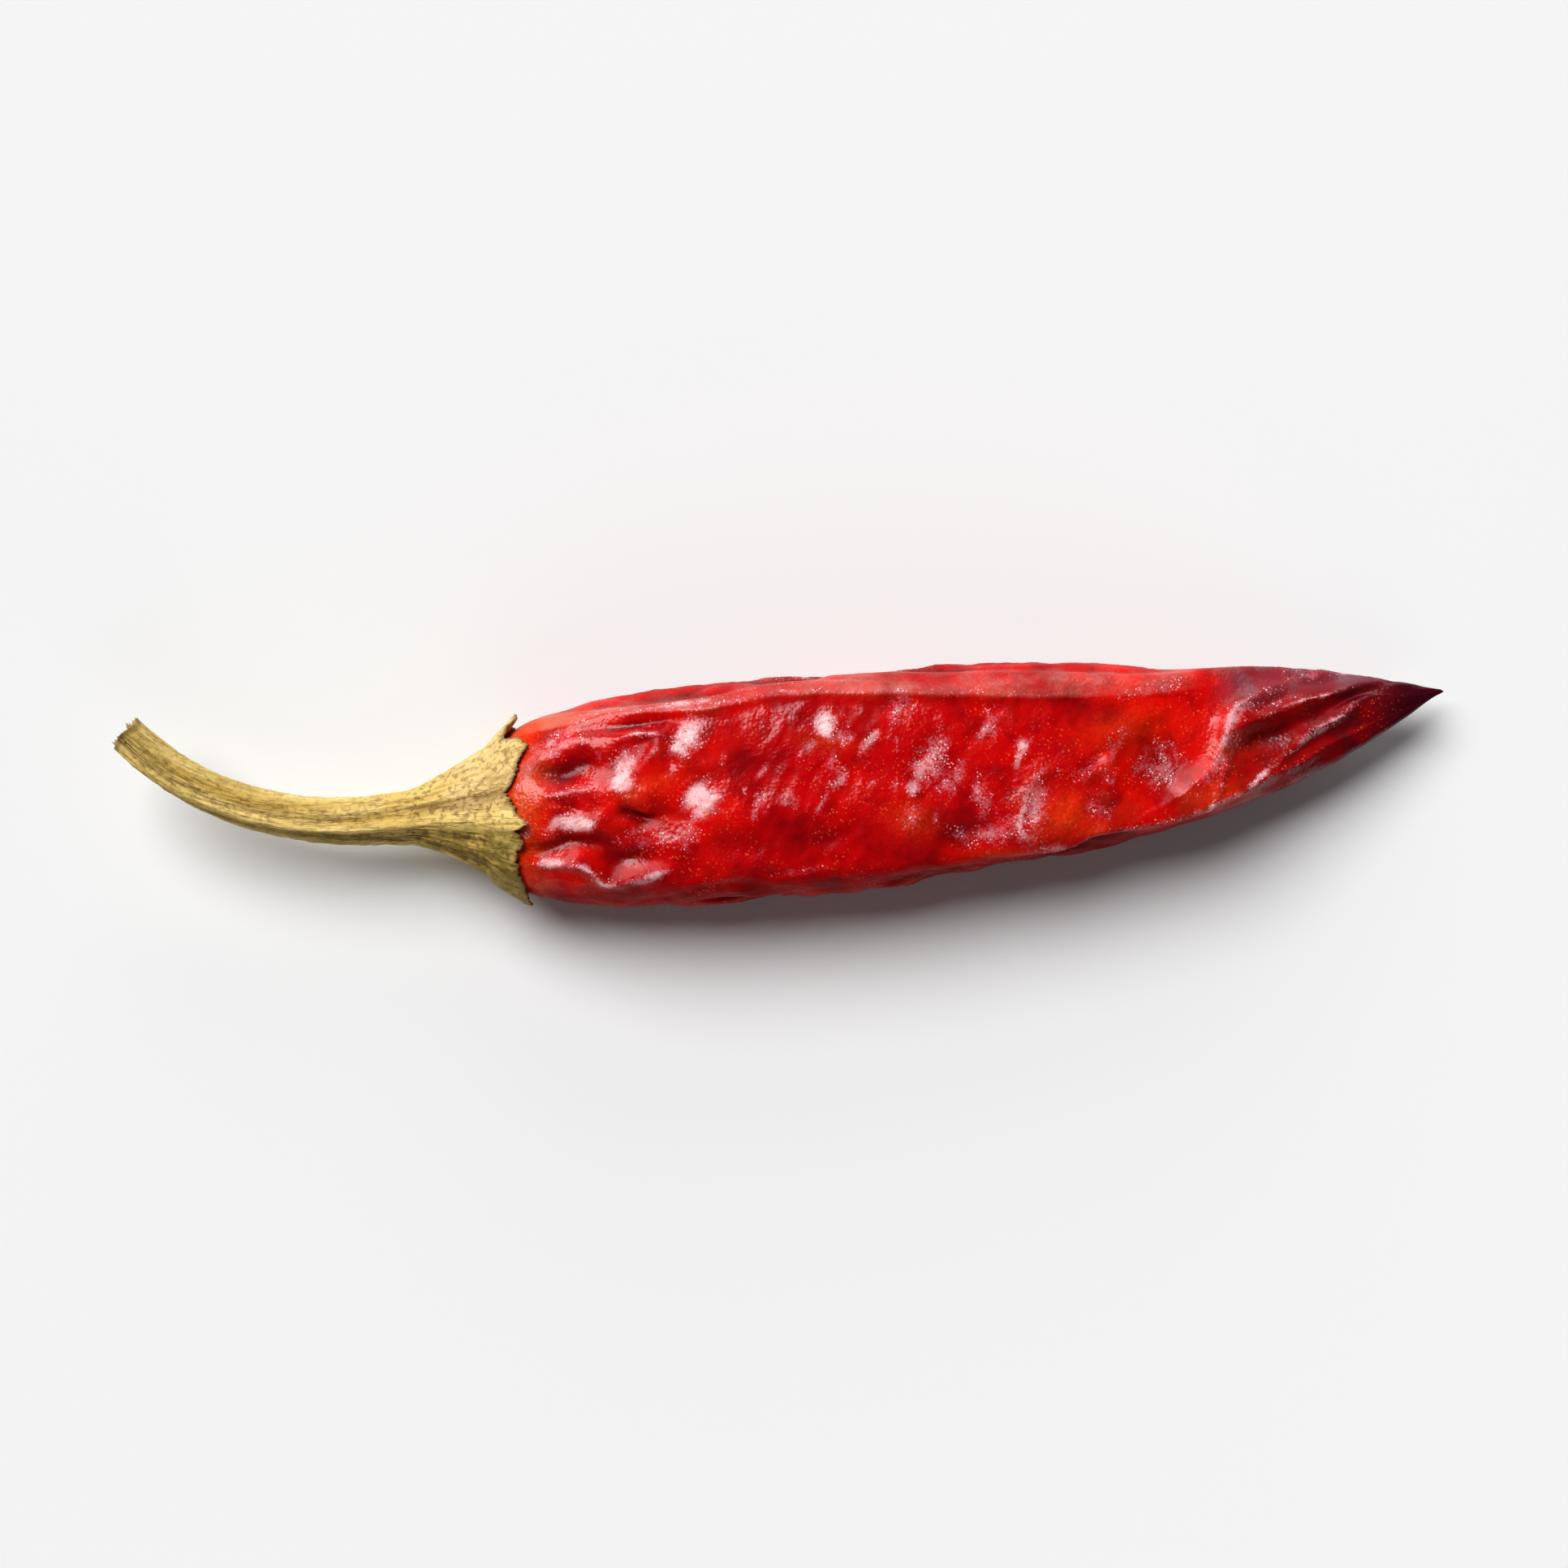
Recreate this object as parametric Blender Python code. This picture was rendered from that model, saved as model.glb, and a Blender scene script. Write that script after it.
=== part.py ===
"""One dried chilli pepper: a shrivelled pod, the calyx that caps its shoulder, and its stem.

Metres, +Z up. +X runs from the cut end of the stem to the tip of the pod, and the chilli lies
on its flatter side. The origin is the middle of its footprint, on the surface it lies on.
"""

import math
from collections import namedtuple

import bpy
import numpy as np
from mathutils import Vector

# Pod
POD_LENGTH = 0.0676
POD_WIDTH = 0.0157
POD_THICKNESS = 0.0118
POD_LEAN = 0.0056  # how far the tip end is set over to +Y by the pod's straight lean
POD_HOOK = 0.0031  # how much further the last stretch hooks over
POD_HOOK_POWER = 5.5
SHOULDER_SHARE = 0.30  # share of the length over which the shoulder fills out
SHOULDER_POWER = 0.20  # lower is fuller
WIDTH_TAPER = 2.5
THICKNESS_TAPER = 2.35
SQUARENESS = 0.7  # of the section half way along: 0 is an ellipse
DRIED_FLAT = 0.0005  # depth of the underside that dried flat against what it lay on
PLUMP_EDGE = 0.0018  # how far past the calyx the skin takes to go from plump to shrivelled

# The two long corners that the skin folded into as it shrank, in degrees from +Y over the top
RIDGE_ANGLES = (47, 137)
RIDGE_SPREAD = 13
RIDGE_HEIGHT = 0.0006

# The pleats that gather into the tip
PLEATS = 5
PLEATS_START = 0.70  # share of the length
PLEAT_DEPTH = 0.0004
PLEAT_TURN = 1.3  # radians

# Calyx
CALYX_COVER = 0.0021  # how far along the pod its rim reaches, before the teeth
CALYX_NECK = 0.0049  # from the pod's end to the stem
CALYX_WALL = 0.00045
CALYX_FLARE = 1.5  # 1 is a straight cone, more is a trumpet
CALYX_TOOTH = 0.0011

# Stem
STEM_LENGTH = 0.0213
STEM_NECK_DIAMETER = 0.0036
STEM_WAIST_DIAMETER = 0.0023
STEM_CUT_DIAMETER = 0.0024
STEM_SIDE_BEND = math.radians(52)  # towards +Y by its cut end
STEM_UP_BEND = math.radians(14)

GAP = 0.0003  # between pieces that touch

# Mesh fineness
POD_RINGS = 66
POD_SIDES = 40
CALYX_SIDES = 48
STEM_STEPS = 26

# The middle line's height, as (share of the length, share of half the thickness)
POD_HEIGHTS = ((0.0, 0.97), (0.3, 0.93), (0.6, 0.86), (0.8, 0.76), (1.0, 0.66))

# Where the skin sank or swelled as it dried: share of the length, degrees from +Y over the
# top, reach along, reach round in degrees, and depth, negative where it swelled.
Hollow = namedtuple("Hollow", "along around reach spread depth")
HOLLOWS = (
    Hollow(0.105, 78, 0.0022, 17, 0.00055),
    Hollow(0.140, 118, 0.0021, 18, 0.00050),
    Hollow(0.150, 62, 0.0016, 13, -0.00030),
    Hollow(0.190, 100, 0.0020, 14, 0.00050),
    Hollow(0.300, 84, 0.0060, 18, 0.00030),
    Hollow(0.470, 100, 0.0090, 22, 0.00045),
    Hollow(0.685, 96, 0.0028, 26, 0.00060),
    Hollow(0.770, 118, 0.0040, 18, -0.00035),
    Hollow(0.860, 92, 0.0060, 20, 0.00050),
    Hollow(0.300, 196, 0.0110, 14, 0.00050),
    Hollow(0.600, 200, 0.0090, 14, 0.00045),
    Hollow(0.400, 346, 0.0150, 14, 0.00040),
    Hollow(0.800, 352, 0.0080, 16, 0.00045),
    Hollow(0.200, 232, 0.0050, 18, 0.00060),
    Hollow(0.480, 300, 0.0070, 18, 0.00060),
    Hollow(0.820, 262, 0.0070, 26, 0.00070),
)

# The calyx's teeth: degrees from +Y over the top, and length as a share of CALYX_TOOTH
Tooth = namedtuple("Tooth", "around share")
TEETH = (
    Tooth(6, 0.7),
    Tooth(56, 0.3),
    Tooth(103, 1.0),
    Tooth(178, 0.9),
    Tooth(236, 0.6),
    Tooth(300, 0.8),
)
TOOTH_HALF_WIDTH = 21  # degrees


def clear_scene():
    for found in list(bpy.data.objects):
        bpy.data.objects.remove(found)


def degrees_apart(around, centre):
    """How far each angle is from a centre, in degrees, the short way round."""
    return np.abs((np.degrees(around) - centre + 180) % 360 - 180)


def pod_fullness(along, taper):
    """The pod's half-width as a share of its widest: a full shoulder, then a taper to the tip."""
    shoulder = np.clip(1 - along / SHOULDER_SHARE, 0, 1)
    body = np.clip((along - SHOULDER_SHARE) / (1 - SHOULDER_SHARE), 0, 1)
    return (1 - shoulder**2) ** SHOULDER_POWER * (1 - body**taper)


def pod_middle(along):
    """Points on the pod's middle line."""
    heights = np.interp(along, *zip(*POD_HEIGHTS))
    return np.stack(
        [
            along * POD_LENGTH,
            along * POD_LEAN + along**POD_HOOK_POWER * POD_HOOK,
            heights * POD_THICKNESS / 2,
        ],
        axis=-1,
    )


def pod_section(along, around):
    """Y and Z from the middle line of a plump section, an ellipse that squares up half way along."""
    power = 2 / (2 + SQUARENESS * np.sin(math.pi * np.clip(along, 0, 1)))
    half_width = POD_WIDTH / 2 * pod_fullness(along, WIDTH_TAPER)
    half_thickness = POD_THICKNESS / 2 * pod_fullness(along, THICKNESS_TAPER)
    c, s = np.cos(around), np.sin(around)
    across = half_width * np.sign(c) * np.abs(c) ** power
    up = half_thickness * np.sign(s) * np.abs(s) ** power
    return across, up


def dried_shape(along, around):
    """How far the skin lies outside the plump section: corners and pleats, less its hollows."""
    ridges = sum(np.exp(-((degrees_apart(around, a) / RIDGE_SPREAD) ** 2)) for a in RIDGE_ANGLES)
    shape = RIDGE_HEIGHT * ridges * np.sin(math.pi * np.clip(along, 0, 1)) ** 0.5
    gather = np.clip((along - PLEATS_START) / (1 - PLEATS_START), 0, 1)
    pleats = np.cos(PLEATS * around - PLEAT_TURN)
    shape = shape + PLEAT_DEPTH * np.sin(math.pi * gather) * pleats
    for hollow in HOLLOWS:
        lengthways = (along - hollow.along) * POD_LENGTH / hollow.reach
        sideways = degrees_apart(around, hollow.around) / hollow.spread
        shape = shape - hollow.depth * np.exp(-(lengthways**2) - sideways**2)
    clear_of_calyx = along * POD_LENGTH - CALYX_COVER - CALYX_TOOTH
    return shape * np.clip(clear_of_calyx / PLUMP_EDGE, 0, 1)


def pod_skin(along, around, shrivelled=True):
    """Points on the pod's skin. The underside stops where it dried flat."""
    across, up = pod_section(along, around)
    reach = np.hypot(across, up)
    if shrivelled:
        grown = 1 + dried_shape(along, around) / np.maximum(reach, POD_THICKNESS / 8)
        across, up = across * grown, up * grown
    skin = pod_middle(along)
    skin[..., 1] += across
    skin[..., 2] = np.maximum(skin[..., 2] + up, DRIED_FLAT)
    return skin


def outward(along, around):
    """Unit normals of the plump pod, from the slope of its skin."""
    step = 1e-4
    lengthways = pod_skin(along + step, around, False) - pod_skin(along - step, around, False)
    round_it = pod_skin(along, around + step, False) - pod_skin(along, around - step, False)
    normals = np.cross(round_it, lengthways)
    return normals / np.linalg.norm(normals, axis=-1, keepdims=True)


def loft(name, rings, first_pole, last_pole, colour, roughness):
    """A closed solid through rings of points, brought to a point at each end."""
    rows, sides = len(rings), len(rings[0])
    points = [tuple(first_pole)] + [tuple(p) for ring in rings for p in ring] + [tuple(last_pole)]

    def at(row, side):
        return 1 + row * sides + side % sides

    faces = [(0, at(0, k + 1), at(0, k)) for k in range(sides)]
    for row in range(rows - 1):
        faces += [
            (at(row, k), at(row, k + 1), at(row + 1, k + 1), at(row + 1, k)) for k in range(sides)
        ]
    end = len(points) - 1
    faces += [(end, at(rows - 1, k), at(rows - 1, k + 1)) for k in range(sides)]
    mesh = bpy.data.meshes.new(name)
    mesh.from_pydata(points, [], faces)
    mesh.shade_smooth()
    return add_part(name, mesh, colour, roughness)


def add_part(name, data, colour, roughness):
    """Links an object for one piece, with its own material."""
    part = bpy.data.objects.new(name, data)
    finish = bpy.data.materials.new(name)
    finish.use_nodes = True
    shader = finish.node_tree.nodes["Principled BSDF"]
    shader.inputs["Base Color"].default_value = (*colour, 1)
    shader.inputs["Roughness"].default_value = roughness
    shader.inputs["Metallic"].default_value = 0
    data.materials.append(finish)
    chilli.objects.link(part)
    return part


def make_pod():
    """The shrivelled fruit, as one solid."""
    spread = np.linspace(0, 1, POD_RINGS + 2)[1:-1]
    alongs = spread**1.35 * (1 - 0.12 * np.sin(math.pi * spread) * spread)
    around = np.arange(POD_SIDES) * 2 * math.pi / POD_SIDES
    rings = [pod_skin(np.full(POD_SIDES, a), around) for a in alongs]
    poles = pod_middle(np.array([0.0, 1.0]))
    loft("pod", rings, poles[0], poles[1], (0.42, 0.006, 0.010), 0.32)


def tooth_reach(around):
    """How far the calyx's teeth run past its rim at each angle."""
    reach = np.zeros_like(around)
    for tooth in TEETH:
        slope = np.clip(1 - degrees_apart(around, tooth.around) / TOOTH_HALF_WIDTH, 0, 1)
        reach = np.maximum(reach, tooth.share * slope**1.2)
    return reach * CALYX_TOOTH


def calyx_neck():
    """The neck's centre, and the direction from it into the pod."""
    poles = pod_middle(np.array([0.0, 0.01]))
    direction = poles[1] - poles[0]
    direction[2] = 0
    direction /= np.linalg.norm(direction)
    return poles[0] - direction * CALYX_NECK, direction


def over_pod(along, around, lift):
    """Points lifted off the plump pod's skin."""
    return pod_skin(along, around, False) + lift * outward(along, around)


def calyx_outside(share, neck_ring, rim_ring):
    """A ring of the calyx's outside, share of the way from its neck to its rim."""
    direction = calyx_neck()[1]
    run = rim_ring - neck_ring
    forward = np.outer(run @ direction, direction)
    ring = neck_ring + forward * share + (run - forward) * share**CALYX_FLARE
    # Where the trumpet would cut into the wall, the ring goes out to the wall.
    along = np.clip(ring[:, 0] / POD_LENGTH, 1e-3, 1)
    around = np.arange(CALYX_SIDES) * 2 * math.pi / CALYX_SIDES
    middle = pod_middle(along)
    wall = over_pod(along, around, GAP + CALYX_WALL) - middle
    reach = np.linalg.norm(ring - middle, axis=1)
    grown = np.maximum(np.linalg.norm(wall, axis=1) / reach, 1)
    over = (ring[:, 0] > 0)[:, None]
    return np.where(over, middle + (ring - middle) * grown[:, None], ring)


def make_calyx():
    """The dry cap: a thin toothed skirt over the pod's shoulder, thickening into the neck."""
    around = np.arange(CALYX_SIDES) * 2 * math.pi / CALYX_SIDES
    rim = (CALYX_COVER + tooth_reach(around)) / POD_LENGTH
    neck, direction = calyx_neck()
    side = np.array([-direction[1], direction[0], 0])
    circle = np.outer(np.cos(around), side) + np.outer(np.sin(around), (0, 0, 1))
    neck_ring = neck + STEM_NECK_DIAMETER / 2 * circle
    rim_ring = over_pod(rim, around, GAP + CALYX_WALL)
    outer = [calyx_outside(share, neck_ring, rim_ring) for share in np.linspace(0, 1, 10)[1:-1]]
    inner = [over_pod(share * rim, around, GAP) for share in (1.0, 0.75, 0.5, 0.3, 0.15, 0.05)]
    rings = [neck_ring, *outer, rim_ring, *inner]
    last = pod_middle(np.array([0.0]))[0] - GAP * direction
    loft("calyx", rings, neck, last, (0.42, 0.30, 0.09), 0.7)


def stem_diameter(share):
    """Thick at the neck, slender at the waist, a little wider at the cut."""
    neck = (STEM_NECK_DIAMETER - STEM_WAIST_DIAMETER) * math.exp(-share / 0.22)
    cut = (STEM_CUT_DIAMETER - STEM_WAIST_DIAMETER) * share**6
    return STEM_WAIST_DIAMETER + neck + cut


def make_stem():
    """The stalk: a tapering rod that bends to one side and a little up, cut off square."""
    neck, direction = calyx_neck()
    heading = math.atan2(direction[1], direction[0]) + math.pi
    step = STEM_LENGTH / STEM_STEPS
    place = Vector(neck) - Vector(direction) * GAP
    curve = bpy.data.curves.new("stem", "CURVE")
    curve.dimensions = "3D"
    curve.bevel_depth = 1.0
    curve.bevel_resolution = 3
    curve.use_fill_caps = True
    spline = curve.splines.new("POLY")
    spline.points.add(STEM_STEPS)
    for index, point in enumerate(spline.points):
        share = index / STEM_STEPS
        point.co = (*place, 1)
        point.radius = stem_diameter(share) / 2
        side = heading - STEM_SIDE_BEND * share**1.45
        up = STEM_UP_BEND * share
        place += step * Vector(
            (math.cos(side) * math.cos(up), math.sin(side) * math.cos(up), math.sin(up))
        )
    add_part("stem", curve, (0.42, 0.29, 0.08), 0.7)


def stand_on_origin():
    """Moves every part so that the middle of the whole footprint is the origin."""
    bpy.context.view_layer.update()
    graph = bpy.context.evaluated_depsgraph_get()
    corners = []
    for part in chilli.objects:
        shape = part.evaluated_get(graph).to_mesh()
        corners += [part.matrix_world @ vertex.co for vertex in shape.vertices]
        part.evaluated_get(graph).to_mesh_clear()
    low = Vector(min(corner[axis] for corner in corners) for axis in range(3))
    high = Vector(max(corner[axis] for corner in corners) for axis in range(3))
    foot = Vector(((low.x + high.x) / 2, (low.y + high.y) / 2, low.z))
    for part in chilli.objects:
        part.location = -foot


clear_scene()
chilli = bpy.data.collections.new("dried_chilli")
bpy.context.scene.collection.children.link(chilli)
make_pod()
make_calyx()
make_stem()
stand_on_origin()
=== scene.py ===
"""Looks of one dried chilli pepper: its shrivelled pod, its calyx and its stem.

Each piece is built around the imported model, which stays as it is. Lengths on the chilli are in
millimetres, as a maker would measure them, and MM turns them into scene metres.
"""

import logging
import math
from dataclasses import dataclass, field
from enum import Enum
from typing import Any, Callable

import bmesh
import bpy
import numpy as np
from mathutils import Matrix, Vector
from mathutils.bvhtree import BVHTree


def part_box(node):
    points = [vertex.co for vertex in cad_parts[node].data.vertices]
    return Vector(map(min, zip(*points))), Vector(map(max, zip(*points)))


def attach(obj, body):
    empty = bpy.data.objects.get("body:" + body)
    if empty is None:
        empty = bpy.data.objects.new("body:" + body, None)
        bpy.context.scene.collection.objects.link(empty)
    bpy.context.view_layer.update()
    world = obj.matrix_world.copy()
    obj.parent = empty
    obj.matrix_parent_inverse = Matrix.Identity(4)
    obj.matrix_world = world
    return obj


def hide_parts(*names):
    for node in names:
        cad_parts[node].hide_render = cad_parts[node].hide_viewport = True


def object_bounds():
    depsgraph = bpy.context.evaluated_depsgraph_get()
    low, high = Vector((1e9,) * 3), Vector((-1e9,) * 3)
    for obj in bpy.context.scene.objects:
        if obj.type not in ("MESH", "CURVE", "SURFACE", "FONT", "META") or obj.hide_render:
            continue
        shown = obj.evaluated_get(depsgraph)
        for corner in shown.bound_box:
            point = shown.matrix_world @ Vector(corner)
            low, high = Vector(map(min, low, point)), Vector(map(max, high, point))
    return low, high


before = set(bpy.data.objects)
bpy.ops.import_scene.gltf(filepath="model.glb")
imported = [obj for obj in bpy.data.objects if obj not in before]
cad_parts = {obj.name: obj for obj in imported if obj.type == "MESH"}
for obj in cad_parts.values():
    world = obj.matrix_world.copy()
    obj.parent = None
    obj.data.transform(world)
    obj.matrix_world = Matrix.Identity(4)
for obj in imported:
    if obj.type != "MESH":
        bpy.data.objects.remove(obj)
CAD_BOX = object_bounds()

MM = 0.001
TAU = 2 * math.pi
UP = np.array([0.0, 0.0, 1.0])
LOG = logging.getLogger("dried_chilli")
Array = np.ndarray
Colour = tuple[float, float, float]
# What a ramp goes to where it falls
DOWN = (1.0, 0.0)
# Where the pod's wrinkles have died out, in millimetres from its shoulder
POD_END = 67.6
# How firm the edge of a patch of bloom and painted highlight is, and how far its face slopes
PATCH_EDGE = 3.0
PATCH_SLOPE = 0.10
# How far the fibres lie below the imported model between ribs, and their streaks' sizes
RIB_SINK = 0.06
GRAIN_ROUND = 2.4
GRAIN_ALONG = 7.0
# Which sides of the stem and calyx are olive with painted shade, and which is pale with painted
# light
OLIVE_SHADED_SIDE = math.radians(215)
SUNNY_SIDE = math.radians(50)
# The share of the calyx from which it is held clear of the pod
CLEAR_OF_NECK = 0.25


# ---------------------------------------------------------------- node trees


def operator(operation: str, turned: bool = False) -> Callable[..., "Value"]:
    """Makes a method that adds one Math node.

    Args:
        operation: what the node does.
        turned: whether the other value comes first.

    Returns:
        The method.
    """

    def method(self: "Value", *others: Any) -> "Value":
        """Returns the result."""
        return self.tree.math(operation, *((*others, self) if turned else (self, *others)))

    return method


@dataclass(frozen=True)
class Value:
    """What comes out of a node. Arithmetic on it adds Math nodes to its tree."""

    tree: "Tree"
    socket: bpy.types.NodeSocket

    __add__ = operator("ADD")
    __sub__ = operator("SUBTRACT")
    __rsub__ = operator("SUBTRACT", turned=True)
    __mul__ = operator("MULTIPLY")
    __truediv__ = operator("DIVIDE")
    __rtruediv__ = operator("DIVIDE", turned=True)
    __abs__ = operator("ABSOLUTE")
    most = operator("MAXIMUM")
    least = operator("MINIMUM")

    def scaled(self, scale: Any) -> "Value":
        """Returns this vector multiplied by a number."""
        return self.tree.out("ShaderNodeVectorMath", {0: self, "Scale": scale}, operation="SCALE")

    def ramp(self, low: Any, high: Any, to: tuple[float, float] = (0.0, 1.0)) -> "Value":
        """Returns this taken smoothly from low..high to the given range."""
        inputs = {0: self, 1: low, 2: high, 3: to[0], 4: to[1]}
        return self.tree.out("ShaderNodeMapRange", inputs, interpolation_type="SMOOTHSTEP")

    def between(self, first: float, last: float) -> "Value":
        """Returns this mask taken smoothly from 0..1 to the given range."""
        return self.ramp(0.0, 1.0, (first, last))

    def noise(self, scale: Any, detail: float = 3.0, output: int = 0) -> "Value":
        """Returns a Noise Texture at these coordinates."""
        inputs = {"Vector": self, "Scale": scale, "Detail": detail}
        return self.tree.out("ShaderNodeTexNoise", inputs, output)

    def cells(self, scale: Any, feature: str = "F1", **more: float) -> "Value":
        """Returns a Voronoi Texture's distance at these coordinates."""
        inputs = {"Vector": self, "Scale": scale, **more}
        return self.tree.out("ShaderNodeTexVoronoi", inputs, feature=feature)

    def blotches(self, size: float, edge: float, middle: float) -> "Value":
        """Returns a mask of soft patches of one size at these coordinates."""
        inputs = {"Vector": self, "Size": size, "Edge": edge, "Middle": middle}
        return self.tree.group(Group.BLOTCHES, inputs)["Mask"]


class Tree:
    """Adds nodes to a node tree and joins them."""

    def __init__(self, tree: bpy.types.NodeTree) -> None:
        """Wraps the shader or geometry node tree to build in."""
        self.tree = tree

    def fill(self, node: bpy.types.Node, inputs: dict[Any, Any]) -> None:
        """Fills in a node's inputs.

        Args:
            node: the node.
            inputs: for each name or number, a value or another node's output.
        """
        for name, value in inputs.items():
            if isinstance(value, Value):
                self.tree.links.new(value.socket, node.inputs[name])
            else:
                node.inputs[name].default_value = value

    def add(self, kind: str, inputs: dict[Any, Any] | None = None, **settings: Any) -> Any:
        """Adds one node.

        Args:
            kind: the node's type name.
            inputs: what its inputs take.
            settings: its properties.

        Returns:
            The node.
        """
        node = self.tree.nodes.new(kind)
        for name, value in settings.items():
            setattr(node, name, value)
        self.fill(node, inputs or {})
        return node

    def out(self, kind: str, inputs: Any = None, output: Any = 0, **settings: Any) -> Value:
        """Adds one node and returns one of its outputs."""
        return Value(self, self.add(kind, inputs, **settings).outputs[output])

    def math(self, operation: str, *inputs: Any) -> Value:
        """Adds a Math node."""
        return self.out("ShaderNodeMath", dict(enumerate(inputs)), operation=operation)

    def vector(self, operation: str, *inputs: Any) -> Value:
        """Adds a Vector Math node."""
        return self.out("ShaderNodeVectorMath", dict(enumerate(inputs)), operation=operation)

    def combined(self, *parts: Any) -> Value:
        """Returns a vector made of numbers."""
        return self.out("ShaderNodeCombineXYZ", dict(enumerate(parts)))

    def blend(self, share: Value, *colours: Value | Colour) -> Value:
        """Returns two colours mixed by share."""
        first, second = ((*c, 1.0) if isinstance(c, tuple) else c for c in colours)
        return self.out("ShaderNodeMix", {0: share, 6: first, 7: second}, 2, data_type="RGBA")

    def layered(self, colour: Value, *layers: tuple[Value, Value | Colour]) -> Value:
        """Returns a colour with others laid over it, each where its mask is."""
        for mask, over in layers:
            colour = self.blend(mask, colour, over)
        return colour

    def place(self) -> Value:
        """Returns a material's object coordinates."""
        return self.out("ShaderNodeTexCoord", output="Object")

    def read(self, attribute: str, output: str = "Fac") -> Value:
        """Returns one of the mesh's own attributes in a material."""
        return self.out("ShaderNodeAttribute", output=output, attribute_name=attribute)

    def named(self, attribute: str, kind: str = "FLOAT") -> Value:
        """Returns one of the mesh's own attributes in Geometry Nodes."""
        return self.out("GeometryNodeInputNamedAttribute", {"Name": attribute}, data_type=kind)

    def bump(self, height: Value, strength: float, distance: float) -> Value:
        """Returns normals tilted by a height."""
        inputs = {"Strength": strength, "Distance": distance, "Height": height}
        return self.out("ShaderNodeBump", inputs)

    def group(self, kind: "Group", inputs: dict[str, Any]) -> dict[str, Value]:
        """Places a shared group and returns its outputs by name."""
        node = self.add("ShaderNodeGroup", inputs, node_tree=shader_group(kind))
        return {socket.name: Value(self, socket) for socket in node.outputs}

    def inputs(self, sockets: dict[str, float | str]) -> dict[str, Value]:
        """Adds inputs to the tree itself.

        Args:
            sockets: for each name, a number's default, or another kind of socket.

        Returns:
            What comes in, by name.
        """
        for name, value in sockets.items():
            kind = value if isinstance(value, str) else "Float"
            made = self.tree.interface.new_socket(name=name, socket_type="NodeSocket" + kind)
            if kind == "Float":
                made.default_value = value
        outputs = self.add("NodeGroupInput").outputs
        return {name: Value(self, outputs[name]) for name in sockets}

    def outputs(self, values: dict[str, Value], kind: str = "Float") -> None:
        """Adds outputs to the tree itself and joins them."""
        for name in values:
            sort = "NodeSocket" + kind
            self.tree.interface.new_socket(name=name, in_out="OUTPUT", socket_type=sort)
        self.add("NodeGroupOutput", values)

    def finish(self, geometry: Value, given: dict[str, Value]) -> None:
        """Ends a Geometry Nodes tree: instances made real, then the material set."""
        real = self.out("GeometryNodeRealizeInstances", {"Geometry": geometry})
        inputs = {"Geometry": real, "Material": given["Material"]}
        dressed = self.out("GeometryNodeSetMaterial", inputs)
        self.outputs({"Geometry": dressed}, "Geometry")

    def shift(self, raised: Value) -> Value:
        """Returns the way that a point moves when it is raised by so many millimetres."""
        return self.named("out", "FLOAT_VECTOR").scaled(raised * MM)

    def move(self, given: dict[str, Value], raised: Value, **way: Value) -> None:
        """Keeps how far each point is raised, moves the points, and ends the tree.

        Args:
            given: the tree's inputs.
            raised: how far, in millimetres.
            way: the new Position, or the Offset from the old one.
        """
        keep = {"Geometry": given["Geometry"], "Name": "raised", "Value": raised}
        kept = self.out("GeometryNodeStoreNamedAttribute", keep, data_type="FLOAT")
        self.finish(self.out("GeometryNodeSetPosition", {"Geometry": kept, **way}), given)


def geometry_tree(name: str, sizes: dict[str, float]) -> tuple[Tree, dict[str, Value]]:
    """Starts a Geometry Nodes tree.

    Args:
        name: its name.
        sizes: its inputs that are numbers.

    Returns:
        The tree, and its inputs by name.
    """
    tree = Tree(bpy.data.node_groups.new(name, "GeometryNodeTree"))
    sockets = {"Geometry": "Geometry", **sizes, "Seed": "Int", "Material": "Material"}
    return tree, tree.inputs(sockets)


class Group(Enum):
    """The shader groups that several finishes share."""

    BLOTCHES = "blotches"
    GRAIN = "fine_grain"
    RELIEF_SHADING = "relief_shading"
    STREAKS = "streaks"


def shader_group(kind: Group) -> bpy.types.NodeTree:
    """Finds a shared shader group, building it the first time it is asked for.

    Args:
        kind: which group.

    Returns:
        The group's node tree.
    """
    found = bpy.data.node_groups.get(kind.value)
    if not found:
        found = bpy.data.node_groups.new(kind.value, "ShaderNodeTree")
        {
            Group.BLOTCHES: build_blotches,
            Group.GRAIN: build_grain,
            Group.RELIEF_SHADING: build_relief_shading,
            Group.STREAKS: build_streaks,
        }[kind](Tree(found))
    return found


def build_blotches(group: Tree) -> None:
    """Fills a group that makes soft-edged patches of a given size."""
    given = group.inputs({"Size": 0.004, "Edge": 0.1, "Middle": 0.5, "Vector": "Vector"})
    value = given["Vector"].noise(1.0 / given["Size"], 4.0)
    low, high = given["Middle"] - given["Edge"], given["Middle"] + given["Edge"]
    group.outputs({"Mask": value.ramp(low, high)})


def build_grain(group: Tree) -> None:
    """Fills a group that makes the fine pebbling of a dried surface."""
    given = group.inputs({"Size": 0.0002, "Coarse": 0.0008, "Vector": "Vector"})
    cells = given["Vector"].cells(1.0 / given["Size"], "SMOOTH_F1")
    coarse = given["Vector"].noise(1.0 / given["Coarse"], 5.0)
    group.outputs({"Height": cells * 0.6 + coarse})


def build_relief_shading(group: Tree) -> None:
    """Fills a group of painted shade for hollows and painted highlight for crests, from how far the
    surface was raised.
    """
    given = group.inputs({"Raised": 0.0, "Hollow depth": 0.3, "Crest height": 0.3})
    hollow = given["Raised"] * -1.0 / given["Hollow depth"]
    crest = given["Raised"] / given["Crest height"]
    group.outputs({"Hollow": hollow.ramp(0.0, 1.0), "Crest highlight": crest.ramp(0.0, 1.0)})


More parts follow.
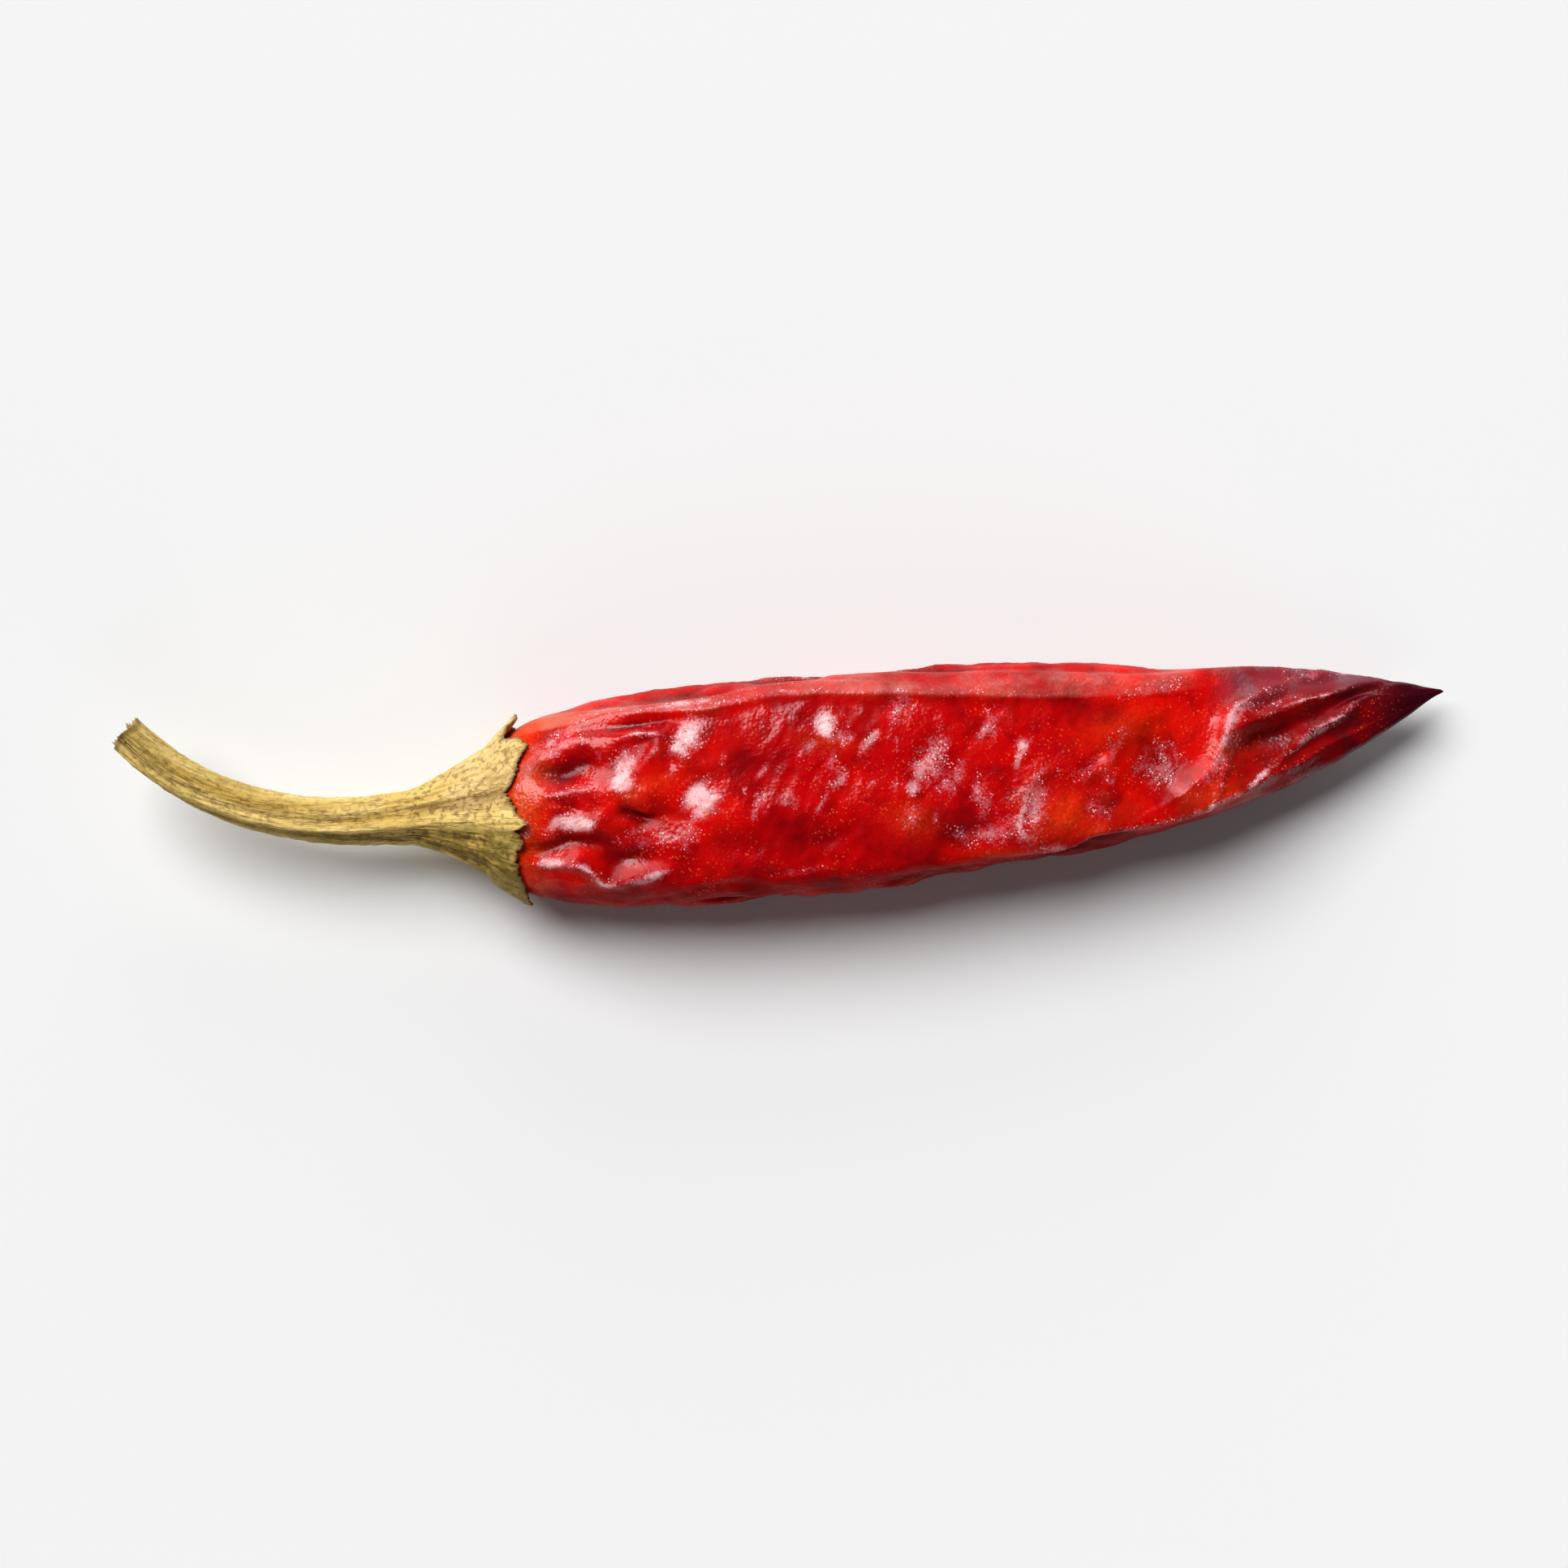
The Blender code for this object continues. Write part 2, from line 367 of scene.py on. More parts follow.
def build_streaks(group: Tree) -> None:
    """Fills a group that makes fibre streaks along a stretched coordinate."""
    given = group.inputs({"Grain": "Vector", "Count": 3.0, "Contrast": 0.15})
    low, high = 0.5 - given["Contrast"], given["Contrast"] + 0.5
    streak = given["Grain"].noise(given["Count"], 6.0).ramp(low, high)
    thin = given["Grain"].noise(given["Count"] * 2.3)
    group.outputs({"Streak": streak, "Crack": abs(thin - 0.5).ramp(0.0, 0.035, DOWN)})


def new_material(name: str) -> tuple[bpy.types.Material, Tree, Any]:
    """Makes an empty material.

    Args:
        name: its name.

    Returns:
        The material, its tree, and its Principled BSDF, already joined to the output.
    """
    material = bpy.data.materials.new(name)
    material.use_nodes = True
    return material, Tree(material.node_tree), material.node_tree.nodes["Principled BSDF"]


# ---------------------------------------------------------------- finishes


@dataclass(frozen=True)
class PodFinish:
    """Glossy dried skin: scarlet and deep red in patches, orange at the rim, maroon at the tip,
    with painted shade, sheen, highlights and glints laid over.
    """

    scarlet: Colour = (0.74, 0.006, 0.002)
    red: Colour = (0.56, 0.001, 0.004)
    deep: Colour = (0.13, 0.0, 0.003)
    orange: Colour = (0.72, 0.11, 0.014)
    ember: Colour = (0.84, 0.062, 0.008)
    salmon: Colour = (0.62, 0.20, 0.17)
    maroon: Colour = (0.07, 0.003, 0.012)
    purple: Colour = (0.25, 0.085, 0.11)
    amber: Colour = (0.84, 0.13, 0.035)
    rose: Colour = (0.62, 0.17, 0.21)
    pale: Colour = (0.93, 0.58, 0.59)
    white: Colour = (0.95, 0.82, 0.86)
    rim_end: float = 5.6
    tip_start: float = 47.0
    grain_bump: float = 0.55

    def make(self) -> bpy.types.Material:
        """Builds the material."""
        material, tree, shader = new_material("dried_chilli_skin")
        place, bloom_and_highlight = tree.place(), tree.read("bloom_and_highlight")
        patch = place.blotches(0.0026, 0.14, 0.5)
        bloom_highlight = self.bloom_highlight_grains(place, bloom_and_highlight)
        colour = tree.layered(
            self.bands(tree, place, self.flesh(tree, place, patch), patch),
            (self.specks_and_glints(place), self.amber),
            # Waxy bloom with painted highlight, rose to pale, then painted glints in white
            (bloom_highlight, tree.blend(bloom_and_highlight.ramp(0.40, 0.90), self.rose, self.pale)),
            (self.painted_glints(place, bloom_and_highlight), self.white),
        )
        tree.fill(shader, {"Base Color": colour, **self.surface(tree, place, patch, bloom_highlight)})
        return material

    def flesh(self, tree: Tree, place: Value, patch: Value) -> Value:
        """Mixes the reds of the skin, with painted shade in its hollows and an orange painted
        highlight on its crests.

        Args:
            tree: the material's tree.
            place: object coordinates.
            patch: the small patches' mask.

        Returns:
            The colour.
        """
        inputs = {"Raised": tree.read("raised"), "Hollow depth": 0.45, "Crest height": 0.40}
        relief_shading = tree.group(Group.RELIEF_SHADING, inputs)
        return tree.layered(
            tree.blend(place.blotches(0.007, 0.12, 0.5), self.red, self.scarlet),
            ((1.0 - place.blotches(0.0042, 0.10, 0.42)) * 0.45, self.deep),
            (place.blotches(0.0016, 0.10, 0.55) * 0.35, self.deep),
            # Painted shade in the hollows, and an orange painted highlight on the crests
            (relief_shading["Hollow"] * 0.85, self.deep),
            (relief_shading["Crest highlight"] * 0.25 * patch, self.orange),
        )

    def bands(self, tree: Tree, place: Value, colour: Value, patch: Value) -> Value:
        """Lays over it the rim's orange, a painted sheen along the long corner, painted shade on
        the lower flanks and the tip's pleats, the maroon tip and a painted sheen on it.

        Args:
            tree: the material's tree.
            place: object coordinates.
            colour: the skin's reds.
            patch: the small patches' mask.

        Returns:
            The colour.
        """
        along, around, inner = (tree.read(name) for name in ("along", "around", "sheen_band"))
        grains = place.noise(4200.0, 2.0).ramp(0.40, 0.62)
        rim = along.ramp(2.8, self.rim_end, DOWN) * patch.between(0.45, 1.0)
        mottle = place.noise(620.0, 5.0).ramp(0.40, 0.60, (0.6, 1.0))
        # Painted sheen along the long corner: salmon, and orange by the shoulder
        sheen_band = inner * along.ramp(8.0, 50.0, (0.85, 0.40)) * patch.between(0.55, 1.0) * mottle
        warm_sheen = inner * along.ramp(4.0, 9.0, (0.7, 0.0))
        tip = along.ramp(self.tip_start, 64.0) * patch.between(0.45, 1.0) * 0.85
        sheen = along.ramp(50.0, 55.0) * patch.between(0.4, 1.0)
        return tree.layered(
            colour,
            (rim * grains.between(0.35, 0.85), self.orange),
            (tree.read("glow") * grains.between(0.5, 1.0), self.ember),
            (sheen_band * grains.between(0.7, 1.0), self.salmon),
            (warm_sheen * grains.between(0.5, 1.0), self.orange),
            # Painted shade on both lower flanks and between the tip's pleats
            (around.ramp(6.0, 8.5) * 0.45, self.deep),
            (around.ramp(-12.0, -8.5, (0.55, 0.0)), self.deep),
            (along.ramp(51.0, 54.0) * 0.42, self.deep),
            (tip.most(along.ramp(59.0, 65.0)), self.maroon),
            # Painted purple sheen over the top of the tip
            (sheen * around.ramp(-3.0, -1.5, (0.85, 0.0)), self.purple),
        )

    @staticmethod
    def specks_and_glints(place: Value) -> Value:
        """Returns a mask of the tiny pale specks, partly dust and partly painted glints, which
        gather in patches.
        """
        near = place.cells(3600.0).ramp(0.10, 0.36, DOWN)
        size = place.noise(1500.0, 2.0).ramp(0.40, 0.58)
        return near * size * place.noise(240.0).ramp(0.42, 0.57) * 0.75

    @staticmethod
    def bloom_highlight_grains(place: Value, bloom_and_highlight: Value) -> Value:
        """Returns a mask of the waxy bloom and its painted highlight, grain by grain."""
        there = bloom_and_highlight.ramp(0.02, 0.35)
        ragged = (place.noise(1500.0, 5.0) - 0.5) * 1.7
        flecks = (place.noise(6800.0, 1.0) - 0.5) * 1.3
        level = bloom_and_highlight + (ragged + flecks) * there
        streaky = place.noise(900.0, 4.0).ramp(0.38, 0.58, (0.55, 1.0))
        strength = bloom_and_highlight.ramp(0.1, 0.9, (0.70, 0.86)) * streaky
        return level.ramp(0.22, 0.98) * there * strength

    @staticmethod
    def painted_glints(place: Value, bloom_and_highlight: Value) -> Value:
        """Returns a mask of painted glints on the brightest grains in the bloom."""
        near = place.cells(4600.0).ramp(0.12, 0.36, DOWN)
        there = place.noise(1300.0).ramp(0.46, 0.60) * bloom_and_highlight.ramp(0.06, 0.40)
        return near * there * 0.85

    def surface(self, tree: Tree, place: Value, patch: Value, bloom_highlight: Value) -> dict[str, Any]:
        """Sets out the skin's gloss and its fine pebbling.

        Args:
            tree: the material's tree.
            place: object coordinates.
            patch: the small patches' mask.
            bloom_highlight: the mask of bloom and painted highlight.

        Returns:
            What the shader's inputs take.
        """
        grain = tree.group(Group.GRAIN, {"Vector": place, "Size": 0.00024, "Coarse": 0.0010})
        height = grain["Height"] * patch.ramp(0.1, 0.9, (0.30, 1.0))
        normal = tree.bump(height, self.grain_bump, 0.00009)
        around = tree.read("around")
        top = around.ramp(5.0, 7.5, (1.0, 0.04)).least(around.ramp(-6.6, -5.6, (0.30, 1.0)))
        coat = patch.ramp(0.1, 0.9, (0.2, 0.55)) * top * bloom_highlight.between(1.0, 0.8)
        return {
            "Roughness": patch.between(0.40, 0.30) + bloom_highlight * 0.2,
            "Normal": normal,
            "Coat Normal": normal,
            "Coat Weight": coat,
            "Coat Roughness": 0.24,
            "Coat IOR": 1.6,
            "Specular IOR Level": 0.03,
        }


@dataclass(frozen=True)
class FibreFinish:
    """Dry straw-coloured fibre with brown cracks and olive patches, for the stem and calyx, with
    painted shade underneath and in hollows and painted light on its sunny side and crests.
    """

    name: str
    straw: Colour = (0.60, 0.40, 0.09)
    pale: Colour = (0.84, 0.62, 0.22)
    brown: Colour = (0.15, 0.07, 0.015)
    olive: Colour = (0.23, 0.18, 0.02)
    cream: Colour = (0.80, 0.56, 0.24)
    olive_share: float = 0.6
    mottle_share: float = 0.45
    crack_share: float = 0.55
    streak_count: float = 0.9

    def make(self) -> bpy.types.Material:
        """Builds the material."""
        material, tree, shader = new_material(self.name)
        place, grain, shady = tree.place(), tree.read("grain", "Vector"), tree.read("olive_and_shade")
        inputs = {"Grain": grain, "Count": self.streak_count, "Contrast": 0.16}
        streaks = tree.group(Group.STREAKS, inputs)
        inputs = {"Raised": tree.read("raised"), "Hollow depth": 0.16, "Crest height": 0.14}
        relief_shading = tree.group(Group.RELIEF_SHADING, inputs)
        # Olive blotches, partly the fibre's own colour and partly painted shade on the underside
        olive_and_shade = place.blotches(0.0012, 0.20, 0.40) * shady.ramp(0.0, 1.0)
        # Brown mottle, made stronger on the shaded side as painted shade
        mottle = place.blotches(0.0004, 0.07, 0.56) * shady.ramp(-0.6, 0.5, (0.7, 1.0))
        colour = tree.layered(
            tree.blend(streaks["Streak"], self.straw, self.pale),
            # Painted light: cream on the calyx's sunny side
            (shady.ramp(-1.0, 0.0, (0.75, 0.0)), self.cream),
            (olive_and_shade * self.olive_share, self.olive),
            (mottle * self.mottle_share, self.brown),
            (streaks["Crack"] * self.crack_share, self.brown),
            # Painted shade in the hollows and painted highlight on the crests
            (relief_shading["Hollow"] * 0.7, self.brown),
            (relief_shading["Crest highlight"] * 0.35, self.pale),
            (tree.read("edge"), self.brown),
        )
        fine = tree.group(Group.GRAIN, {"Vector": place, "Size": 0.00018, "Coarse": 0.0006})
        lines = fine["Height"] * 0.5 + streaks["Streak"] - streaks["Crack"] * 0.6
        rough = streaks["Streak"].between(0.75, 0.58)
        normal = tree.bump(lines, 0.5, 0.00015)
        tree.fill(shader, {"Base Color": colour, "Roughness": rough, "Normal": normal})
        return material


# ---------------------------------------------------------------- mesh helpers


def welded_tree(node: str) -> tuple[BVHTree, Array, Array]:
    """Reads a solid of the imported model.

    Args:
        node: its name.

    Returns:
        A tree to cast rays at, its points, and its triangles as point numbers.
    """
    copy = bmesh.new()
    copy.from_mesh(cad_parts[node].data)
    bmesh.ops.remove_doubles(copy, verts=copy.verts, dist=1e-7)
    bmesh.ops.triangulate(copy, faces=copy.faces)
    copy.verts.ensure_lookup_table()
    tree = BVHTree.FromBMesh(copy)
    points = np.array([vertex.co for vertex in copy.verts])
    faces = np.array([[vertex.index for vertex in face.verts] for face in copy.faces])
    copy.free()
    return tree, points, faces


def slice_middles(points: Array, faces: Array, xs: Array) -> Array:
    """Finds the middle of a solid's section at each X.

    Args:
        points: the solid's points.
        faces: its triangles.
        xs: where to cut.

    Returns:
        The Y and Z of each section's middle.
    """
    corners = points[faces]
    starts = corners.reshape(-1, 3)
    ends = np.roll(corners, -1, axis=1).reshape(-1, 3)
    middles = []
    for x in xs:
        cut = (starts[:, 0] - x) * (ends[:, 0] - x) < 0
        share = (x - starts[cut, 0]) / (ends[cut, 0] - starts[cut, 0])
        at = starts[cut, 1:] + share[:, None] * (ends[cut, 1:] - starts[cut, 1:])
        middles.append((at.min(0) + at.max(0)) / 2)
    return np.array(middles)


def smoothed(values: Array, sigma: float, axis: int, mode: str = "edge") -> Array:
    """Blurs an array along one axis with a Gaussian.

    Args:
        values: the array.
        sigma: the Gaussian's width, in steps of the array.
        axis: the axis to blur along.
        mode: edge, or wrap where the axis closes on itself.

    Returns:
        The blurred array.
    """
    reach = int(3 * sigma) + 1
    weights = np.exp(-0.5 * (np.arange(-reach, reach + 1) / sigma) ** 2)
    weights /= weights.sum()
    pads = [(0, 0)] * values.ndim
    pads[axis] = (reach, reach)
    padded = np.pad(values, pads, mode=mode)
    steps = np.arange(values.shape[axis])
    shifted = (np.take(padded, steps + shift, axis=axis) for shift in range(len(weights)))
    return sum(weight * part for weight, part in zip(weights, shifted))


def eased(values: Array, low: float, high: float) -> Array:
    """Takes values smoothly from 0 at low to 1 at high."""
    share = np.clip((values - low) / (high - low), 0, 1)
    return share * share * (3 - 2 * share)


def united(vectors: Array) -> Array:
    """Makes each vector one unit long."""
    return vectors / np.maximum(np.linalg.norm(vectors, axis=-1, keepdims=True), 1e-12)


def grid_normals(grid: Array) -> Array:
    """Unit normals of a tube of points, whose columns run clockwise seen from the far end."""
    round_it = np.roll(grid, -1, axis=1) - np.roll(grid, 1, axis=1)
    return united(np.cross(round_it, np.gradient(grid, axis=0)))


def cast(tree: BVHTree, x: float, middle: Array, angle: float) -> float:
    """Measures from a section's middle to the skin, at one angle from +Y over the top."""
    hit = tree.ray_cast(Vector((x, *middle)), Vector((0, math.cos(angle), math.sin(angle))))
    return hit[3] if hit[0] is not None else 0.0


def placed(name: str, data: Any) -> bpy.types.Object:
    """Makes an object and puts it in the scene."""
    made = bpy.data.objects.new(name, data)
    bpy.context.scene.collection.objects.link(made)
    return made


def add_layer(mesh: bpy.types.Mesh, name: str, values: Array) -> None:
    """Stores a number or a vector for each of a mesh's points."""
    kind, part = ("FLOAT_VECTOR", "vector") if values.shape[1] == 3 else ("FLOAT", "value")
    layer = mesh.attributes.new(name, kind, "POINT")
    layer.data.foreach_set(part, values.astype(np.float32).ravel())


def tube_mesh(name: str, grid: Array, layers: dict[str, Array], poles: tuple) -> bpy.types.Object:
    """Makes a closed mesh through rows of points, with a pole at each end.

    Args:
        name: the object's name.
        grid: rows, columns and three coordinates.
        layers: named values for each grid point: numbers or vectors.
        poles: the first and last pole.

    Returns:
        The object.
    """
    rows, columns = grid.shape[:2]
    count = rows * columns
    points = np.concatenate([grid.reshape(-1, 3), np.array(poles, float)])
    index = np.arange(count).reshape(rows, columns)
    turned = np.roll(index, -1, axis=1)
    quads = np.stack([index[:-1], turned[:-1], turned[1:], index[1:]], axis=-1).reshape(-1, 4)
    caps = [(count, int(b), int(a)) for a, b in zip(index[0], turned[0])]
    caps += [(count + 1, int(a), int(b)) for a, b in zip(index[-1], turned[-1])]
    mesh = bpy.data.meshes.new(name)
    mesh.from_pydata(points.tolist(), [], quads.tolist() + caps)
    mesh.shade_smooth()
    for layer, values in layers.items():
        flat = values.reshape(count, -1)
        ends = np.stack([flat[:columns].mean(0), flat[-columns:].mean(0)])
        add_layer(mesh, layer, np.concatenate([flat, ends]))
    return placed(name, mesh)


def apply_tree(piece: bpy.types.Object, tree: Tree, values: dict[str, Any]) -> None:
    """Runs a Geometry Nodes tree on a piece and keeps the result as its plain mesh.

    Args:
        piece: the object.
        tree: the tree.
        values: what its named inputs take.
    """
    modifier = piece.modifiers.new(tree.tree.name, "NODES")
    modifier.node_group = tree.tree
    for item in tree.tree.interface.items_tree:
        if item.in_out == "INPUT" and item.name in values:
            modifier[item.identifier] = values[item.name]
    bpy.context.view_layer.update()
    graph = bpy.context.evaluated_depsgraph_get()
    result = bpy.data.meshes.new_from_object(piece.evaluated_get(graph))
    result.name = piece.name
    piece.modifiers.remove(modifier)
    old = piece.data
    piece.data = result
    bpy.data.meshes.remove(old)


def hand_over(piece: bpy.types.Object, node: str | None = None) -> None:
    """Puts a finished piece on the chilli's one body.

    Args:
        piece: the object.
        node: the solid it stands for, if any.
    """
    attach(piece, "root")
    if node:
        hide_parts(node)
    points = np.array([vertex.co for vertex in piece.data.vertices]) / MM
    faces = len(piece.data.polygons)
    LOG.info("%s: %d faces, from %s to %s mm", piece.name, faces, points.min(0), points.max(0))


def curve_points(points: Any, steps: int) -> Array:
    """Points on a smooth curve through the given ones.

    Args:
        points: the points it passes through.
        steps: how many points to make in each span.

    Returns:
        The points, with the last one included.
    """
    given = np.array(points, float)
    padded = np.vstack([2 * given[0] - given[1], given, 2 * given[-1] - given[-2]])
    share = np.linspace(0, 1, steps, endpoint=False)[:, None]
    spans = []
    for a, b, c, d in zip(padded, padded[1:], padded[2:], padded[3:]):
        square = (2 * a - 5 * b + 4 * c - d) * share**2
        cube = (3 * b - 3 * c + d - a) * share**3
        spans.append(0.5 * (2 * b + (c - a) * share + square + cube))
    return np.vstack([*spans, given[-1:]])


# ---------------------------------------------------------------- pod


@dataclass(frozen=True)
class Fold:
    """A fold that the skin was pinched into, drawn on the unrolled skin.

    Points are (distance from the shoulder, distance round from the crown), in millimetres, and
    the distance round is positive towards -Y. Height is below zero for a crease. A bloom with a
    painted highlight lies on the crest, and thin above 1 draws it in to a line.
    """

    points: tuple[tuple[float, float], ...] | Array
    height: float
    left: float
    right: float
    sharpness: float = 1.6
    bloom_and_highlight: float = 0.0
    thin: float = 1.5

    def profile(self, along: Array, around: Array) -> Array:
        """Shape of the fold over the skin.

        Args:
            along: each skin point's distance from the shoulder.
            around: its distance round from the crown.

        Returns:
            The share of the fold's height at each point.
        """
        line = curve_points(self.points, 14)
        heading = united(np.gradient(line, axis=0))
        reach = 3 * max(self.left, self.right)
        low, high = line.min(0) - reach, line.max(0) + reach
        near = (along > low[0]) & (along < high[0]) & (around > low[1]) & (around < high[1])
        spots = np.stack([along[near], around[near]], axis=-1)
        apart = spots[:, None, :] - line[None, :, :]
        squares = (apart**2).sum(-1)
        closest = squares.argmin(1)
        pick = np.arange(len(spots))
        gap, way = apart[pick, closest], heading[closest]
        side = way[:, 0] * gap[:, 1] - way[:, 1] * gap[:, 0]
        width = np.where(side > 0, self.right, self.left)
        share = np.clip(closest / (len(line) - 1), 0.04, 0.96)
        distance = np.sqrt(squares[pick, closest])
        profile = np.zeros_like(along)
        fade = np.sin(math.pi * share) ** 0.6
        profile[near] = fade * np.exp(-((distance / width) ** self.sharpness))
        return profile


@dataclass(frozen=True)
class Spot:
    """An oval on the unrolled skin, in millimetres and turned by so many degrees.

    As a dent, its amount is how far the skin sank. As a glow or a patch of bloom and painted
    highlight, its amount is the strength, and a patch is a small face that slopes.
    """

    along: float
    round: float
    reach: float
    spread: float
    turn: float
    amount: float
    edge: float = 2.0
    slope: float = 0.0

    def window(self, along: Array, around: Array) -> Array:
        """Share of the amount at each offset from the oval's middle."""
        turn = math.radians(self.turn)
        u = along * math.cos(turn) + around * math.sin(turn)
        v = around * math.cos(turn) - along * math.sin(turn)
        return np.exp(-(((u / self.reach) ** 2 + (v / self.spread) ** 2) ** (self.edge / 2)))

    def over(self, along: Array, around: Array) -> Array:
        """The amount at each point of the skin."""
        return self.amount * self.window(along - self.along, around - self.round)


def patch(*oval: float, slope: float = PATCH_SLOPE) -> Spot:
    """Returns a patch of waxy bloom and painted highlight, which has a firm edge and tilts towards
    -X and +Y.
    """
    return Spot(*oval, edge=PATCH_EDGE, slope=slope)


CORNER = (
    (3.5, -5.5), (6.3, -5.3), (8.6, -5.95), (11.3, -5.8), (15.5, -5.5), (20.5, -6.1), (26.4, -5.7),
    (32.4, -5.1), (38.3, -4.4), (46.0, -3.8),
)

FOLDS = (
    # The long corner between the top face and the +Y side, its pale edge of bloom and painted
    # highlight, and creases beyond it
    Fold(CORNER, 0.34, 2.0, 0.34, 1.25),
    Fold(
        tuple((along, around - 0.20) for along, around in CORNER),
        0.05, 0.4, 0.22, 1.5, 0.62, 1.0,
    ),
    Fold(((21.5, -8.3), (26.4, -7.2), (30.6, -6.5), (37, -6.1)), -0.18, 0.4, 0.4, 1.5),
    Fold(((10, -7.4), (16, -7.6), (24, -9.4)), -0.16, 0.4, 0.6),
    Fold(((30, -8.6), (37, -7.8), (44, -6.5), (49, -5.6)), -0.18, 0.5, 0.7),
    Fold(((14, -6.6), (20, -7.3), (27, -6.8)), 0.10, 0.3, 0.3, 1.5, 0.55, 1.0),
    # The curl that starts the tip, and the pleats that run from it
    Fold(
        ((57.4, -3.6), (55.7, -3.1), (53.7, -2.7), (52.2, -1.9), (51.3, 0.3), (50.4, 2.0),
         (49.2, 3.0), (47.8, 3.6)),
        0.62, 2.2, 0.55, 1.3, 0.80, 2.2,
    ),
    Fold(
        ((51.9, -0.4), (53.8, -1.0), (56.4, -1.4), (58.8, -1.8), (62, -1.8), (65.5, -1.0)),
        0.50, 0.7, 0.45, 1.3, 0.95, 4.5,
    ),
    Fold(
        ((54.6, 2.8), (55.8, 1.8), (57.7, 0.5), (59.6, -0.1), (62.1, -0.8), (65.5, -0.3)),
        0.52, 0.8, 0.5, 1.3, 0.90, 3.6,
    ),
    Fold(((51.9, 1.2), (51.4, 2.4), (51.0, 3.6), (50.4, 4.5)), 0.28, 0.25, 0.3, 1.3, 0.75, 2.5),
    Fold(
        ((36.5, 6.4), (40.5, 6.4), (43.1, 5.4), (48.1, 4.9), (52.2, 3.9), (55.8, 2.9), (60.8, 1.4),
         (65.0, 0.6)),
        0.62, 0.9, 0.4, 1.3, 0.85, 4.5,
    ),
    Fold(((47, -5.0), (51, -5.3), (56, -4.8), (60, -3.6), (64.5, -2.2)), 0.40, 0.9, 0.8),
    # The low ridge that rings the round hollow, and the arc before it
    Fold(
        ((46.8, -2.4), (44.6, -1.7), (43.5, 0.2), (43.4, 2.2), (44.4, 3.6)),
        0.30, 0.9, 0.9, 1.6, 0.50, 2.0,
    ),
    Fold(
        ((40.6, 0.2), (38.5, 1.3), (37.2, 3.4), (37.6, 5.2), (39.2, 6.4)),
        0.36, 1.0, 0.7, 1.5, 0.85, 1.4,
    ),
    # Pinches near the calyx
    Fold(((12.3, -3.9), (12.0, -3.2), (11.6, -2.4), (11.3, -1.4)), 0.72, 1.7, 0.30, 1.3, 0.95, 7.0),
    Fold(((9.3, -4.1), (10.6, -4.2), (12.0, -4.1), (13.2, -3.9)), 0.34, 0.40, 0.35, 1.4, 0.9, 1.6),
    Fold(((9.2, 0.4), (10.2, 1.3), (11.4, 1.6), (12.8, 1.2)), -0.60, 0.40, 0.6, 1.4),
    Fold(((4.3, 0.2), (5.3, -0.5), (6.6, -0.9), (8.7, -0.3)), 0.36, 0.55, 0.45, 1.5, 0.72, 1.3),
    Fold(
        ((3.0, 4.3), (4.9, 4.1), (6.3, 4.4), (7.4, 4.8), (8.6, 6.0), (10.0, 5.9), (11.6, 5.6),
         (13.2, 5.2)),
        0.55, 0.60, 0.45, 1.4, 0.95, 2.2,
    ),
    Fold(((7.6, -3.9), (7.9, -3.1), (8.3, -2.2)), 0.14, 0.3, 0.3, 1.6, 0.6, 2.0),
)

DENTS = (
    Spot(5.7, -2.3, 2.2, 0.9, 0, 0.48), Spot(12.9, -2.2, 0.8, 1.0, 0, 0.45),
    Spot(10.6, -5.1, 2.8, 0.5, -2, 0.42), Spot(6.0, 0.25, 1.0, 0.3, 10, 0.26),
    Spot(5.4, 3.0, 3.0, 0.6, 0, 0.50), Spot(10.4, 4.2, 1.6, 0.8, 0, 0.45),
    Spot(10.6, 0.1, 1.8, 0.8, -15, -0.34), Spot(18.8, -1.6, 1.6, 2.6, -25, 0.20),
    Spot(18.0, 3.9, 2.8, 1.3, 0, 0.22), Spot(23.6, 3.9, 2.6, 1.2, 0, 0.26),
    Spot(33.4, 4.6, 2.2, 1.2, 0, 0.24), Spot(40.4, 4.1, 1.2, 1.2, -25, -0.30),
    Spot(46.9, 0.9, 2.0, 1.9, 0, 0.30, 3.0), Spot(53.8, 0.6, 1.7, 1.1, -25, 0.50),
    Spot(56.6, 0.0, 3.4, 0.6, -14, 0.42), Spot(60.9, -1.3, 3.0, 0.4, -8, 0.30),
    Spot(54.6, -1.9, 1.6, 0.5, -10, 0.30), Spot(58.5, -3.0, 3.2, 0.7, 10, 0.30),
)

# Where light glows orange through thin skin
GLOWS = (
    Spot(24.0, -2.7, 2.0, 0.5, 10, 0.60), Spot(29.8, 3.2, 1.7, 1.1, 20, 0.60),
    Spot(40.6, 3.9, 1.3, 1.6, 0, 0.75), Spot(11.9, -0.7, 1.8, 0.7, -10, 0.55),
    Spot(44.5, -1.6, 3.0, 1.2, 0, 0.40), Spot(53.6, 0.8, 1.7, 0.8, -20, 0.45),
    Spot(36.6, 6.3, 2.4, 0.4, 6, 0.60), Spot(42.4, 5.2, 2.2, 0.6, 12, 0.45),
)

